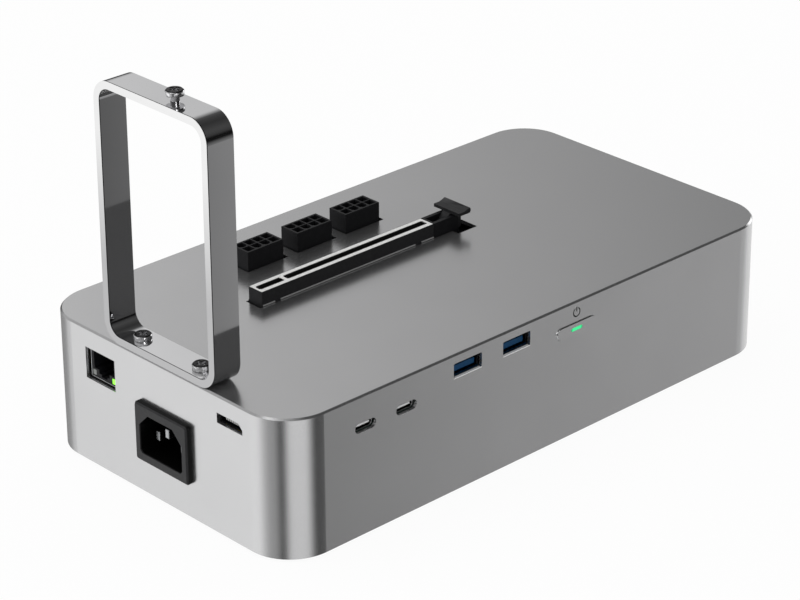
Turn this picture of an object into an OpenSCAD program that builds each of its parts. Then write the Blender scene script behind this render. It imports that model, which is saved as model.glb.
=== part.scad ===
// Expansion chassis for one full-length graphics card: a metal housing with a
// card slot, three supply headers and a card bracket on top, ports in the left
// end and the front, and a power supply and a fan inside. X runs along the
// length from the port end, Y from the front to the back, and Z is up.

/* [Housing] */
// Length of the housing
body_l = 259; // [250:1:320]
// Width of the housing
body_w = 138; // [134:1:180]
// Height of the housing without its feet
body_h = 56; // [54:0.5:80]
// Radius of the upright corners
corner_r = 18.5; // [14:0.5:24]
// Bevel round the top edge
edge_bevel = 0.7; // [0.3:0.1:1.4]
// Thickness of the side walls
wall_t = 1.6; // [1.2:0.1:2.2]
// Thickness of the top
top_t = 1.6; // [1.2:0.1:2.2]

/* [Bottom cover] */
// Thickness of the bottom cover
cover_t = 2; // [1.6:0.1:3]
// Depth of the cover's lower face inside the walls
cover_recess = 0.3; // [0.1:0.1:1]
// Gap round the cover
cover_gap = 0.2; // [0.1:0.05:0.5]
// Width of an air slot
air_slot_w = 3; // [2:0.5:3.5]
// Distance from one air slot to the next
air_slot_step = 6; // [5:0.5:9]

/* [Feet] */
// Radius of a rubber foot
foot_r = 8; // [5:0.5:10]
// Height of the housing above the table
foot_proud = 1.5; // [1:0.1:4]
// Depth of a foot's seat in the cover
foot_seat = 0.5; // [0.3:0.1:0.8]
// Distance from a foot to the end of the housing
foot_inset_x = 26; // [22:1:40]
// Distance from a foot to the side of the housing
foot_inset_y = 24; // [20:1:32]

/* [Main board] */
// Thickness of the main board
board_t = 2; // [1.6:0.2:2.4]
// Distance from the housing's top face down to the board's top face
board_drop = 5.2; // [5:0.1:5.6]
// Length of the main board
board_l = 187; // [184:1:190]
// Gap between the board and the back wall
board_back_gap = 11.2; // [10:0.1:14]
// Gap between the board and the walls
board_gap = 0.6; // [0.4:0.1:1]

/* [Card slot] */
// Length of the slot's moulding
slot_l = 89; // [89:0.1:90]
// Width of the slot's moulding
slot_w = 7.5; // [7:0.1:8]
// Height of the slot above the board
slot_h = 11.25; // [11:0.05:12]
// Distance from the port end to the slot
slot_start = 58; // [50:0.5:62]
// Distance of the slot's middle plane behind the housing's middle
slot_y = 13; // [9:0.5:16]
// Width of the groove for the card's edge
groove_w = 2.6; // [2.2:0.1:3]
// Length of the groove's short part
groove_short = 12.4; // [12:0.1:13]

/* [Card latch] */
// Length of the latch's housing
latch_case_l = 13.5; // [12:0.5:15]
// Width of the thumb pad
pad_w = 14.2; // [12:0.1:17]

/* [Supply headers] */
// Distance from one contact to the next
header_pitch = 4.2; // [4.2:0.1:4.4]
// Height of a header above the board
header_h = 13.2; // [12:0.1:15]
// Distance from the port end to the first header
header_start = 74.5; // [70:0.5:80]
// Distance from one header to the next
header_step = 25.3; // [23:0.1:27]
// Distance of the headers' middle before the board's back edge
header_inset = 15.1; // [12:0.1:18]

/* [Card bracket] */
// Width of the bracket's bar
bracket_bar_w = 12; // [9:0.5:16]
// Thickness of the bracket's bar
bracket_bar_t = 3; // [2:0.1:4]
// Height of the bracket
bracket_h = 103; // [90:1:120]
// Width of the bracket
bracket_w = 62; // [56:1:70]
// Outer radius of the bracket's bends
bracket_bend_r = 8.5; // [6:0.5:10]
// Distance of the bracket's middle behind the housing's middle
bracket_y = -1.4; // [-4:0.1:4]
// Distance between the bracket's two fixing screws
bracket_screw_step = 33; // [24:1:36]
// Distance of the card's screw from the slot's middle plane
card_screw_offset = 21.7; // [20:0.1:24]

/* [Screws] */
// Radius of a bracket screw's shank
big_screw_r = 1.7; // [1.4:0.05:1.9]
// Radius of a bracket screw's head
big_head_r = 3.4; // [3:0.1:4]
// Height of a bracket screw's head
big_head_h = 2.1; // [1.6:0.1:2.6]
// Radius of a small screw's shank
small_screw_r = 1.2; // [1:0.05:1.4]
// Radius of a small screw's head
small_head_r = 2.5; // [2.1:0.1:2.8]
// Height of a small screw's head
small_head_h = 1.5; // [1.2:0.1:1.8]

/* [Network jack] */
// Width of the jack
jack_w = 15; // [14.8:0.1:15.6]
// Height of the jack
jack_h = 12.4; // [12.2:0.1:12.6]
// Depth of the jack
jack_d = 20; // [18:0.5:22]
// Distance of the jack's middle from the back face
jack_inset = 35.4; // [32:0.1:38]

/* [Mains inlet] */
// Width of the inlet's flange
inlet_flange_w = 30; // [29:0.5:34]
// Height of the inlet's flange
inlet_flange_h = 24; // [21:0.5:26]
// Distance that the flange stands out of the wall
inlet_proud = 2.4; // [1.5:0.1:3]
// Height of the inlet's middle above the housing's bottom edge
inlet_rise = 26; // [20:0.1:28]
// Distance of the inlet's middle behind the housing's middle
inlet_y = -3.2; // [-8:0.1:4]

/* [Link port] */
// Width of the link port's shell
link_w = 13.2; // [12:0.1:14]
// Height of the link port's shell
link_h = 3.4; // [3:0.1:4]
// Distance of the link port's middle before the housing's middle
link_front = 39.8; // [37:0.1:42]

/* [Front ports] */
// Width of a wide port's shell
wide_port_w = 13.2; // [12.5:0.1:14]
// Height of a wide port's shell
wide_port_h = 5.7; // [5.5:0.1:6]
// Distance from the port end to the first wide port's middle
wide_port_start = 88.8; // [86:0.1:92]
// Distance between the wide ports
wide_port_step = 25.3; // [24:0.1:28]
// Depth of the wide ports' upper face below the housing's top
wide_port_drop = 3.8; // [3.2:0.1:3.9]
// Width of a slim port's shell
slim_port_w = 8.94; // [8.5:0.01:9.5]
// Height of a slim port's shell
slim_port_h = 3.26; // [3:0.01:3.5]
// Distance from the port end to the first slim port's middle
slim_port_start = 38.1; // [36:0.1:40]
// Distance between the slim ports
slim_port_step = 19.9; // [18:0.1:22]
// Depth of the slim ports' middle below the housing's top
slim_port_drop = 12.5; // [12:0.1:14]

/* [Power button] */
// Length of the button
button_l = 20.6; // [18:0.1:24]
// Height of the button
button_h = 4.5; // [4:0.1:4.8]
// Distance from the port end to the button's middle
button_start = 145.9; // [142:0.1:150]
// Depth of the button's middle below the housing's top
button_drop = 11.1; // [11:0.1:12]
// Distance that the button stands out of the wall
button_proud = 0.5; // [0.2:0.1:1]
// Travel of the button
button_travel = 0.8; // [0.4:0.1:1]

/* [Fan] */
// Side of the fan's frame
fan_size = 80; // [70:1:82]
// Height of the fan's frame
fan_h = 15; // [10:1:20]
// Distance from the fan's axis to the far end of the housing
fan_inset = 52; // [50:1:60]
// Number of blades on the rotor
blade_count = 9; // [5:1:11]

/* [Power supply] */
// Distance from the port end to the supply's board
supply_start = 38; // [36:1:42]
// Gap between the supply's board and the front wall
supply_front_gap = 33.4; // [32:0.1:36]
// Gap between the supply's board and the back wall
supply_back_gap = 17.4; // [14:0.1:20]
// Height of the pillars under the supply's board
supply_lift = 5; // [4:0.5:8]

/* [Hidden] */
$fn = 48;

// Overrun of every cut
over = 1;
// Distance that fitted but fixed faces keep from each other
seat_gap = 0.1;
// Radial clearance of a running fit
run_gap = 0.05;

// Levels, from the table up
floor_z = foot_proud;
cover_low = floor_z + cover_recess;
cover_top = cover_low + cover_t;
top_z = floor_z + body_h;
ceiling_z = top_z - top_t;
board_top = top_z - board_drop;
board_low = board_top - board_t;

// Planes of the walls
end_x = -body_l / 2;
end_in_x = end_x + wall_t;
front_y = -body_w / 2;
front_in_y = front_y + wall_t;

// Posts that hold the bottom cover
post_r = 4;
post_h = 18;
post_bore_depth = 10;
post_bite = 0.25;
post_inset = corner_r - (corner_r - wall_t - post_r + post_bite) / sqrt(2);
corner_post_x = body_l / 2 - post_inset;
corner_post_y = body_w / 2 - post_inset;
side_post_y = body_w / 2 - wall_t - post_r + post_bite;
post_places = [
  [-corner_post_x, -corner_post_y], [corner_post_x, -corner_post_y],
  [-corner_post_x, corner_post_y], [corner_post_x, corner_post_y],
  [0, -side_post_y], [0, side_post_y]];

// Bosses that carry the main board
boss_r = 2.8;
board_x0 = end_in_x + board_gap;
board_x1 = board_x0 + board_l;
board_y0 = front_in_y + board_gap;
board_y1 = body_w / 2 - wall_t - board_back_gap;
board_w = board_y1 - board_y0;
boss_edge = 9;
boss_end = 19;
boss_shares = [0, 0.3, 1];
boss_span = board_l - boss_end - boss_edge;
boss_places = [
  for (s = boss_shares, y = [board_y0 + boss_edge, board_y1 - boss_edge])
    [board_x0 + boss_end + s * boss_span, y]];
screw_hole_gap = 0.4;
board_corner_r = corner_r - wall_t - board_gap;

// Air slots in the back wall
vent_count = 19;
vent_h = 20;
vent_low = 22;

// Card slot
slot_x0 = end_x + slot_start;
slot_x1 = slot_x0 + slot_l;
slot_top = board_top + slot_h;
slot_end_gap = 1.2;
slot_side_gap = 0.4;
groove_end = 1.2;
groove_key = 1.3;
groove_depth = 8.5;
groove_in_w = 3.4;
groove_long = slot_l - groove_end - groove_short - groove_key - groove_end;
groove_long_x = slot_x0 + groove_end + groove_short + groove_key;
liner_rim = 0.2;
liner_t = 0.3;
ledge_w = 0.35;
ledge_t = 0.5;
ledge_break = 2.4;
ledge_break_inset = 6.5;
contact_pitch = 1;
contact_w = 0.6;
contact_t = (groove_in_w - groove_w) / 2 + run_gap;
contact_h = 6;

// Card latch, as seen from the side about its pivot
case_x1 = slot_x1 + latch_case_l;
case_wall = 1.6;
case_end = 1.1;
case_floor = 0.8;
latch_in_w = slot_w - 2 * case_wall;
latch_side_gap = 0.15;
lever_w = latch_in_w - 2 * latch_side_gap;
pivot_reach = 10;
pivot_x = slot_x1 + pivot_reach;
pivot_rise = 3.2;
pivot_z = board_top + pivot_rise;
pivot_r = 1.2;
latch_eye_r = 2.1;
lever_back = 1.5;
lever_face = 6.7;
lever_heel = 1.6;
hook_reach = 4.6;
hook_top = 6.4;
hook_low = 2.6;
pad_start = 0.6;
pad_flat = 3;
pad_l = 6;
pad_t = 1.3;
pad_rise = 0.95;
pad_bulge = 0.5;
pad_lift = 0.75;
pad_low = slot_top + pad_lift - pivot_z;
latch_cut_gap = 0.5;
latch_cut_x0 = pivot_x;
latch_cut_reach = 3;
latch_cut_x1 = pivot_x + lever_face + latch_cut_reach;

// Supply headers
header_count = 3;
header_ways = 4;
header_rim = 0.6;
header_l = header_ways * header_pitch + 2 * header_rim;
header_w = 2 * header_pitch + 2 * header_rim;
header_y = board_y1 - header_inset;
pocket = 3.5;
pocket_bevel = 1;
pocket_nick = 0.2;
pocket_floor = 2.6;
header_near_gap = 0.4;
header_far_gap = 2;
header_pin = 1.1;
header_pin_low = 4;
header_catch_w = 4;
header_catch_t = 1.2;
header_catch_h = 2.4;
header_catch_drop = 2.5;
bevelled_ways = [[0, 1, 1, 0], [1, 0, 0, 0]];

// Card bracket
bracket_base = top_z;
bracket_top = bracket_base + bracket_h;
bracket_mid_x = end_x + bracket_bar_w / 2;
bracket_boss_r = 3.4;
bracket_boss_h = 1.6;
bracket_screw_l = bracket_bar_t + top_t + bracket_boss_h - seat_gap;
bracket_bore_r = big_screw_r + run_gap;
card_screw_y = slot_y - card_screw_offset;
card_screw_l = 6.35;
card_screw_lift = 2.1;

// Screws
recess_share = 0.62;
recess_width_share = 0.2;
recess_depth_share = 0.55;
head_bevel_share = 0.25;
cover_screw_l = 7;
cover_head_h = 1.3;

// Network jack
jack_x = end_in_x;
jack_y = body_w / 2 - jack_inset;
jack_lift = 0.4;
jack_top = board_low - jack_lift;
jack_skin = 0.3;
jack_cut_w = 17.1;
jack_cut_h = 12.8;
jack_cut_drop = 0.5;
jack_cut_mid = jack_top - jack_h / 2 - jack_cut_drop;
jack_plug_w = 11.8;
jack_plug_h = 7;
jack_plug_d = 13;
jack_tab_w = 6.2;
jack_tab_h = 1.6;
jack_key_w = 3.4;
jack_key_h = 1;
jack_plug_top = 1.7;
jack_lamp_w = 2;
jack_lamp_h = 2.2;
jack_lamp_d = 10;
jack_lamp_inset = 0.5;
jack_wire = 0.4;
jack_wire_pitch = 1.02;
jack_wire_start = 2.5;
jack_wires = 8;
jack_wire_rake = 4;
jack_foot = 1.6;
jack_foot_inset = 2.5;

// Mains inlet
inlet_z = floor_z + inlet_rise;
inlet_front = end_x - inlet_proud;
inlet_block_w = 27.4;
inlet_block_h = 19.4;
inlet_cut_gap = 0.3;
inlet_socket_w = 24;
inlet_socket_h = 16.5;
inlet_socket_bevel = 5;
inlet_socket_foot_bevel = 1.2;
inlet_socket_d = 16.6;
inlet_back_t = 3;
inlet_flange_r = 1.6;
inlet_rim_bevel = 0.8;
inlet_ear_t = 0.6;
inlet_ear_w = 8;
inlet_ear_l = 4;
blade_t = 2;
blade_h = 4;
blade_step = 7;
blade_raise = 2.6;
blade_drop = 1.4;
blade_out = 12.1;
earth_extra = 1.3;
tab_t = 0.8;
tab_l = 7;

// Link port
link_y = -link_front;
link_top = board_low;
link_bevel = 1.8;
link_skin = 0.3;
link_d = 10;
link_cut_gap = 0.3;
link_tongue_w = 9;
link_tongue_t = 0.7;

// Wide ports
wide_top = top_z - wide_port_drop;
wide_mid = wide_top - wide_port_h / 2;
port_skin = 0.4;
wide_d = 13.6;
wide_tongue_t = 2.2;
wide_tongue_w = 11.2;
wide_tongue_drop = 0.5;
wide_tongue_back = 0.8;
wide_block_d = 4;
wide_ear_w = 1.5;
wide_ear_t = 0.4;
wide_ear_l = 5;
wide_ear_inset = 4;
wide_cut_r = 0.6;
wide_cut_margin = 0.55;
wide_cut_w = wide_port_w + 2 * wide_cut_margin;
wide_cut_h = wide_port_h + 2 * seat_gap;
notch_gap = 0.3;
wide_x = [for (i = [0:1]) end_x + wide_port_start + i * wide_port_step];

// Slim ports
slim_mid = top_z - slim_port_drop;
slim_skin = 0.3;
slim_d = 7.4;
slim_tongue_w = 6.7;
slim_tongue_t = 0.7;
slim_block_d = 2;
slim_cut_w = 10.1;
slim_cut_h = 3.9;
slim_x = [for (i = [0:1]) end_x + slim_port_start + i * slim_port_step];
port_recess = wall_t + seat_gap;

// Board of the slim ports
port_board_t = 1.6;
port_board_top = slim_mid - slim_port_h / 2;
port_board_low = port_board_top - port_board_t;
port_board_margin = 8;
port_board_w = 24;
port_board_x0 = slim_x[0] - slim_port_w / 2 - port_board_margin;
port_board_x1 = slim_x[1] + slim_port_w / 2 + port_board_margin;
port_board_y0 = front_in_y + board_gap;
pillar_r = 2.5;
pillar_inset = 3.2;
port_screw_l = 4.2;
link_block_l = 24;
link_block_w = 5;
port_pillar_y = port_board_y0 + port_board_w - pillar_inset;
port_pillar_x = [port_board_x0 + pillar_inset, port_board_x1 - pillar_inset];

// Chips and their heatsink, under the main board
chip_t = 1.4;
chip_side = 14;
chip_offset = 8;
chip_front = 12;
chip_x = slot_x0 + chip_offset;
chip_y = -chip_front;
small_chip_side = 8;
small_chip_t = 1;
small_chip_front = 16;
small_chip_places = [[slim_x[0], -small_chip_front], [wide_x[1], -small_chip_front]];
sink_side = 26;
sink_base = 1.6;
sink_fin_t = 1.2;
sink_fin_h = 3.4;
sink_fins = 6;

// Power button
button_x = end_x + button_start;
button_z = top_z - button_drop;
button_gap = 0.2;
button_flange_edge = 1.1;
button_flange_t = 1;
lamp_l = 6.2;
lamp_h = 1.3;
button_stem_r = 1.2;
switch_side = 6;
switch_t = 3.4;
plunger_r = 1.7;
plunger_l = 1.4;
button_board_t = 1.6;
button_board_w = 22;
button_board_drop = 9.5;
button_depth = 8.5;
button_flange_y = front_in_y;
button_board_y = front_in_y + button_depth;
switch_y = button_board_y - switch_t;
plunger_y = switch_y - plunger_l;
plunger_in = 1.2;

// Fan
fan_x = body_l / 2 - fan_inset;
fan_corner_r = 4;
fan_rim = 1.6;
fan_bore_r = fan_size / 2 - fan_rim;
fan_hole_inset = 4.25;
fan_hole_step = fan_size - 2 * fan_hole_inset;
fan_hub_r = 17;
fan_base_t = 1.6;
fan_strut_w = 4;
fan_struts = 4;
fan_shaft_r = 1.5;
bearing_r = 3.4;
bearing_h = 6;
blade_clear = 1;
blade_pitch = 38;
blade_thick = 1.4;
fan_lead_pitch = 2.4;
fan_lead_y = -24;
fan_lead_out = 4;
blade_low = 2.2;
blade_high = 1;
hub_skin = 1.2;
fan_floor_gap = 0.6;
fan_screw_r = 1.9;
fan_hole_r = fan_screw_r + run_gap;
fan_head_r = 3.2;
fan_screw_l = 8;
grille_margin = 2;
grille_r = fan_bore_r - grille_margin;

// Power supply
supply_t = 1.6;
supply_x0 = end_x + supply_start;
supply_fan_gap = 9;
supply_x1 = fan_x - fan_size / 2 - supply_fan_gap;
supply_l = supply_x1 - supply_x0;
supply_y0 = front_in_y + supply_front_gap;
supply_w = body_w - 2 * wall_t - supply_front_gap - supply_back_gap;
supply_low = cover_top + supply_lift;
supply_top = supply_low + supply_t;
supply_room = board_low - supply_top;
supply_pillar_inset = 4;
supply_places = [
  for (x = [supply_x0 + supply_pillar_inset, supply_x1 - supply_pillar_inset],
    y = [supply_y0 + supply_pillar_inset, supply_y0 + supply_w - supply_pillar_inset]) [x, y]];

// Sizes of the supply's parts, as shares of its board's length and width and
// of the room above it
function round_share(s) = min(s[0] * supply_l, s[1] * supply_w);
cap_shares = [0.083, 0.119];
cap_h_share = 0.75;
cap_step_share = 0.262;
cap_share = [0.33, 0.5];
cap_bevel = 0.8;
cap_r = round_share(cap_shares);
cap_h = cap_h_share * supply_room;
cap_step = cap_step_share * supply_w;
core_l_share = 0.283;
core_w_share = 0.333;
core_h_share = 0.75;
core_leg_shares = [0.058, 0.083];
core_share = [0.62, 0.5];
core_winding_gap = 1;
core_l = core_l_share * supply_l;
core_w = core_w_share * supply_w;
core_h = core_h_share * supply_room;
core_leg = round_share(core_leg_shares);
winding_r = min(core_l / 2 - core_leg + core_winding_gap, core_w / 2);
sink_l_share = 0.6;
sink_h_share = 0.75;
sink_x_share = 0.56;
sink_y_shares = [0.14, 0.86];
sink_plate_t = 2.4;
sink_rib_t = 1.4;
sink_rib_l = 5;
sink_ribs = 9;
sink_l = sink_l_share * supply_l;
sink_h = sink_h_share * supply_room;
transistor_w_share = 0.138;
transistor_h_share = 0.375;
transistor_lift_share = 0.2;
transistor_shares = [0.2, 0.5, 0.8];
transistor_t = 4.5;
transistor_w = transistor_w_share * sink_l;
transistor_h = transistor_h_share * supply_room;
transistor_lift = transistor_lift_share * supply_room;
choke_shares = [0.054, 0.077];
choke_tube_shares = [0.025, 0.036];
choke_share = [0.85, 0.5];
choke_r = round_share(choke_shares);
choke_tube_r = round_share(choke_tube_shares);
filter_shares = [0.133, 0.167, 0.5];
filter_share = [0.13, 0.2];
filter_l = filter_shares[0] * supply_l;
filter_w = filter_shares[1] * supply_w;
filter_h = filter_shares[2] * supply_room;
filter_box_shares = [0.15, 0.095, 0.375];
filter_box_share = [0.13, 0.8];
filter_box_l = filter_box_shares[0] * supply_l;
filter_box_w = filter_box_shares[1] * supply_w;
filter_box_h = filter_box_shares[2] * supply_room;
terminal_shares = [0.1, 0.286, 0.225];
terminal_share = [0.07, 0.5];
terminal_pitch_share = 0.25;
terminal_l = terminal_shares[0] * supply_l;
terminal_w = terminal_shares[1] * supply_w;
terminal_h = terminal_shares[2] * supply_room;
terminal_pitch = terminal_pitch_share * terminal_w;
lead_r = 1;
lead_step = 2.2;
lead_hover = 2.6;
lead_rise_share = 0.3;
lead_rise = lead_rise_share * supply_room;
output_leads = 6;
output_lead_pitch = 3.2;
output_lead_share = 0.95;
output_share = 0.5;

// Plan of a plate with four round corners
module rounded_plan(l, w, r) {
  square([l - 2 * r, w], center = true);
  square([l, w - 2 * r], center = true);
  for (sx = [-1, 1], sy = [-1, 1])
    translate([sx * (l / 2 - r), sy * (w / 2 - r)])
      circle(r);
}

// Plan of a bar with two half-round ends
module stadium_plan(l, w) {
  square([l - w, w], center = true);
  for (s = [-1, 1])
    translate([s * (l - w) / 2, 0])
      circle(w / 2);
}

// Bar along X whose two upper long edges are bevelled
module bevelled_bar(l, w, c) {
  rotate([90, 0, 90])
    translate([0, 0, -l / 2])
      linear_extrude(l)
        polygon([[-w / 2, 0], [w / 2, 0], [w / 2 - c, c], [c - w / 2, c]]);
}

// Block with round upright corners and a bevelled top edge
module bevelled_block(l, w, r, h, c) {
  linear_extrude(h - c)
    rounded_plan(l, w, r);
  translate([0, 0, h - c]) {
    for (sx = [-1, 1], sy = [-1, 1])
      translate([sx * (l / 2 - r), sy * (w / 2 - r), 0])
        cylinder(h = c, r1 = r, r2 = r - c);
    bevelled_bar(l - 2 * r, w, c);
    rotate(90)
      bevelled_bar(w - 2 * r, l, c);
  }
}

// Turns a plan into a plate that faces the port end, from x inwards
module on_end(x, y, z, t) {
  translate([x, y, z])
    rotate([90, 0, 90])
      linear_extrude(t)
        children();
}

// Turns a plan into a plate that faces the front, from y inwards
module on_front(x, y, z, t) {
  translate([x, y + t, z])
    rotate([90, 0, 0])
      linear_extrude(t)
        children();
}

// Cross recess for a screwdriver, cut down from z = 0
module cross_recess(r, d) {
  reach = r * recess_share;
  half = r * recess_width_share;
  for (a = [0, 90])
    rotate(a)
      translate([-reach, -half, -d])
        cube([2 * reach, 2 * half, d + over]);
}

// Screw with a flat cheese head, its head's underside at z = 0
module pan_screw(head_r, head_h, shank_r, shank_l) {
  difference() {
    union() {
      translate([0, 0, -shank_l])
        cylinder(h = shank_l, r = shank_r);
      cylinder(h = head_h * (1 - head_bevel_share), r = head_r);
      translate([0, 0, head_h * (1 - head_bevel_share)])
        cylinder(h = head_h * head_bevel_share, r1 = head_r, r2 = head_r - head_h * head_bevel_share);
    }
    translate([0, 0, head_h])
      cross_recess(head_r, head_h * recess_depth_share);
  }
}

// Screw with a sunk head, its flat face at z = 0 and its shank upwards
module sunk_screw(head_r, head_h, shank_r, shank_l) {
  difference() {
    union() {
      cylinder(h = shank_l, r = shank_r);
      cylinder(h = head_h, r1 = head_r, r2 = shank_r);
    }
    mirror([0, 0, 1])
      cross_recess(head_r, head_h * recess_depth_share);
  }
}

// One straight stretch of an insulated lead
module lead_stretch(a, b, r) {
  d = b - a;
  flat = norm([d[0], d[1]]);
  translate(a)
    rotate([0, atan2(flat, d[2]), atan2(d[1], d[0])])
      cylinder(h = norm(d), r = r);
}

// Insulated lead along a list of points, with round elbows
module lead(points, r) {
  for (i = [1:len(points) - 1])
    lead_stretch(points[i - 1], points[i], r);
  for (i = [1:len(points) - 2])
    translate(points[i])
      sphere(r);
}

// Openings in the top for the slot, its latch and the headers
module top_openings() {
  translate([0, 0, ceiling_z - over]) {
    translate([slot_x0 - slot_end_gap, slot_y - slot_w / 2 - slot_side_gap, 0])
      cube([case_x1 + slot_side_gap - slot_x0 + slot_end_gap, slot_w + 2 * slot_side_gap,
        top_t + 2 * over]);
    translate([latch_cut_x0, slot_y - pad_w / 2 - latch_cut_gap, 0])
      cube([latch_cut_x1 + latch_cut_gap - latch_cut_x0, pad_w + 2 * latch_cut_gap, top_t + 2 * over]);
    for (i = [0:header_count - 1])
      translate([header_x(i) - header_near_gap, header_y - header_w / 2 - header_near_gap, 0])
        cube([header_l + header_near_gap + header_far_gap, header_w + 2 * header_near_gap
          + header_catch_t, top_t + 2 * over]);
  }
}

function header_x(i) = end_x + header_start + i * header_step;

// Openings in the port end
module end_openings() {
  on_end(end_x - over, jack_y, jack_cut_mid, wall_t + 2 * over)
    square([jack_cut_w, jack_cut_h], center = true);
  on_end(end_x - over, inlet_y, inlet_z, wall_t + 2 * over)
    square([inlet_block_w + 2 * inlet_cut_gap, inlet_block_h + 2 * inlet_cut_gap], center = true);
  on_end(end_x - over, link_y, link_top - link_h / 2, wall_t + 2 * over)
    link_plan(link_cut_gap);
}

// Outline of the link port, grown by g
module link_plan(g) {
  polygon([
    [link_w / 2 + g, link_h / 2 + g], [link_w / 2 + g, -link_h / 2 - g],
    [-link_w / 2 - g, -link_h / 2 - g], [-link_w / 2 - g, link_h / 2 - link_bevel],
    [link_bevel - link_w / 2, link_h / 2 + g]]);
}

// Openings in the front
module front_openings() {
  for (x = slim_x)
    on_front(x, front_y - over, slim_mid, wall_t + 2 * over)
      stadium_plan(slim_cut_w, slim_cut_h);
  for (x = wide_x)
    on_front(x, front_y - over, wide_mid, wall_t + 2 * over)
      rounded_plan(wide_cut_w, wide_cut_h, wide_cut_r);
  on_front(button_x, front_y - over, button_z, wall_t + 2 * over)
    stadium_plan(button_l + 2 * button_gap, button_h + 2 * button_gap);
}

// Air slots in the back wall
module back_openings() {
  for (i = [0:vent_count - 1])
    on_front((i - (vent_count - 1) / 2) * air_slot_step, body_w / 2 - wall_t - over,
        floor_z + vent_low + vent_h / 2, wall_t + 2 * over)
      rotate(90)
        stadium_plan(vent_h, air_slot_w);
}

// One-piece metal housing: the top and the four walls
module housing_shell() {
  color("#9b9c9f")
    difference() {
      union() {
        difference() {
          translate([0, 0, floor_z])
            bevelled_block(body_l, body_w, corner_r, body_h, edge_bevel);
          translate([0, 0, floor_z - over])
            linear_extrude(ceiling_z - floor_z + over)
              rounded_plan(body_l - 2 * wall_t, body_w - 2 * wall_t, corner_r - wall_t);
        }
        for (p = post_places)
          translate([p[0], p[1], cover_top])
            cylinder(h = post_h, r = post_r);
        for (p = boss_places)
          translate([p[0], p[1], board_top])
            cylinder(h = ceiling_z - board_top, r = boss_r);
        for (s = [-1, 1])
          translate([bracket_mid_x, bracket_y + s * bracket_screw_step / 2, ceiling_z - bracket_boss_h])
            cylinder(h = bracket_boss_h, r = bracket_boss_r);
      }
      for (p = post_places)
        translate([p[0], p[1], cover_top - over])
          cylinder(h = post_bore_depth + over, r = small_screw_r + run_gap);
      for (p = boss_places)
        translate([p[0], p[1], board_top - over])
          cylinder(h = ceiling_z - board_top + over, r = small_screw_r + run_gap);
      for (s = [-1, 1])
        translate([bracket_mid_x, bracket_y + s * bracket_screw_step / 2, ceiling_z - bracket_boss_h - over])
          cylinder(h = top_t + bracket_boss_h + 2 * over, r = bracket_bore_r);
      top_openings();
      end_openings();
      front_openings();
      back_openings();
    }
}

foot_places = [
  for (sx = [-1, 1], sy = [-1, 1]) [sx * (body_l / 2 - foot_inset_x), sy * (body_w / 2 - foot_inset_y)]];
fan_hole_places = [
  for (sx = [-1, 1], sy = [-1, 1]) [fan_x + sx * fan_hole_step / 2, sy * fan_hole_step / 2]];

// Plate that closes the bottom, with the fan's grille
module bottom_cover() {
  color("#85868a")
    difference() {
      translate([0, 0, cover_low])
        linear_extrude(cover_t)
          rounded_plan(body_l - 2 * (wall_t + cover_gap), body_w - 2 * (wall_t + cover_gap),
            corner_r - wall_t - cover_gap);
      for (p = post_places)
        translate([p[0], p[1], cover_low]) {
          translate([0, 0, -over])
            cylinder(h = cover_t + 2 * over, r = small_screw_r + screw_hole_gap);
          cylinder(h = cover_head_h + seat_gap, r1 = small_head_r + seat_gap,
            r2 = small_screw_r + seat_gap);
        }
      for (p = foot_places)
        translate([p[0], p[1], cover_low - over])
          cylinder(h = foot_seat + over, r = foot_r + seat_gap);
      for (p = fan_hole_places)
        translate([p[0], p[1], cover_low]) {
          translate([0, 0, -over])
            cylinder(h = cover_t + 2 * over, r = fan_screw_r + seat_gap);
          cylinder(h = cover_head_h + seat_gap, r1 = fan_head_r + seat_gap,
            r2 = fan_screw_r + seat_gap);
        }
      for (p = supply_places)
        translate([p[0], p[1], cover_low - over])
          cylinder(h = cover_t + 2 * over, r = small_screw_r + run_gap);
      fan_grille();
    }
}

// Slots under the fan, each as long as the round field allows
module fan_grille() {
  rows = floor((grille_r - air_slot_w) / air_slot_step);
  for (i = [-rows:rows]) {
    chord = 2 * sqrt(pow(grille_r, 2) - pow(i * air_slot_step, 2));
    translate([fan_x + i * air_slot_step, 0, cover_low - over])
      linear_extrude(cover_t + 2 * over)
        rotate(90)
          stadium_plan(chord, air_slot_w);
  }
}

// Sunk screws of the bottom cover
module cover_screws() {
  color("#3a3b3e")
    for (p = post_places)
      translate([p[0], p[1], cover_low])
        sunk_screw(small_head_r, cover_head_h, small_screw_r, cover_screw_l);
}

// Four rubber feet, each glued in a shallow seat
module rubber_feet() {
  color("#2a2a2c")
    for (p = foot_places)
      translate([p[0], p[1], 0])
        cylinder(h = foot_proud + cover_recess + foot_seat, r = foot_r);
}

// Main board, round at the port end, with a notch for each wide port
module main_board() {
  color("#1d4a35")
    difference() {
      translate([0, 0, board_low])
        linear_extrude(board_t)
          intersection() {
            rounded_plan(body_l - 2 * (wall_t + board_gap), body_w - 2 * (wall_t + board_gap),
              board_corner_r);
            translate([board_x0, board_y0])
              square([board_l, board_w]);
          }
      for (p = boss_places)
        translate([p[0], p[1], board_low - over])
          cylinder(h = board_t + 2 * over, r = small_screw_r + screw_hole_gap);
      for (x = wide_x)
        translate([x - wide_port_w / 2 - notch_gap, board_y0 - over, board_low - over])
          cube([wide_port_w + 2 * notch_gap, port_recess + wide_d + notch_gap - wall_t - board_gap + over,
            board_t + 2 * over]);
    }
}

// Screws that hold the main board to the housing's bosses
module board_screws() {
  color("#b9bbbf")
    for (p = boss_places)
      translate([p[0], p[1], board_low])
        mirror([0, 0, 1])
          pan_screw(small_head_r, small_head_h, small_screw_r, board_t + ceiling_z - board_top - seat_gap);
}

// Plan of one stretch of the slot's groove
module groove_plan(x, l, w) {
  translate([x, slot_y - w / 2])
    square([l, w]);
}

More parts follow.
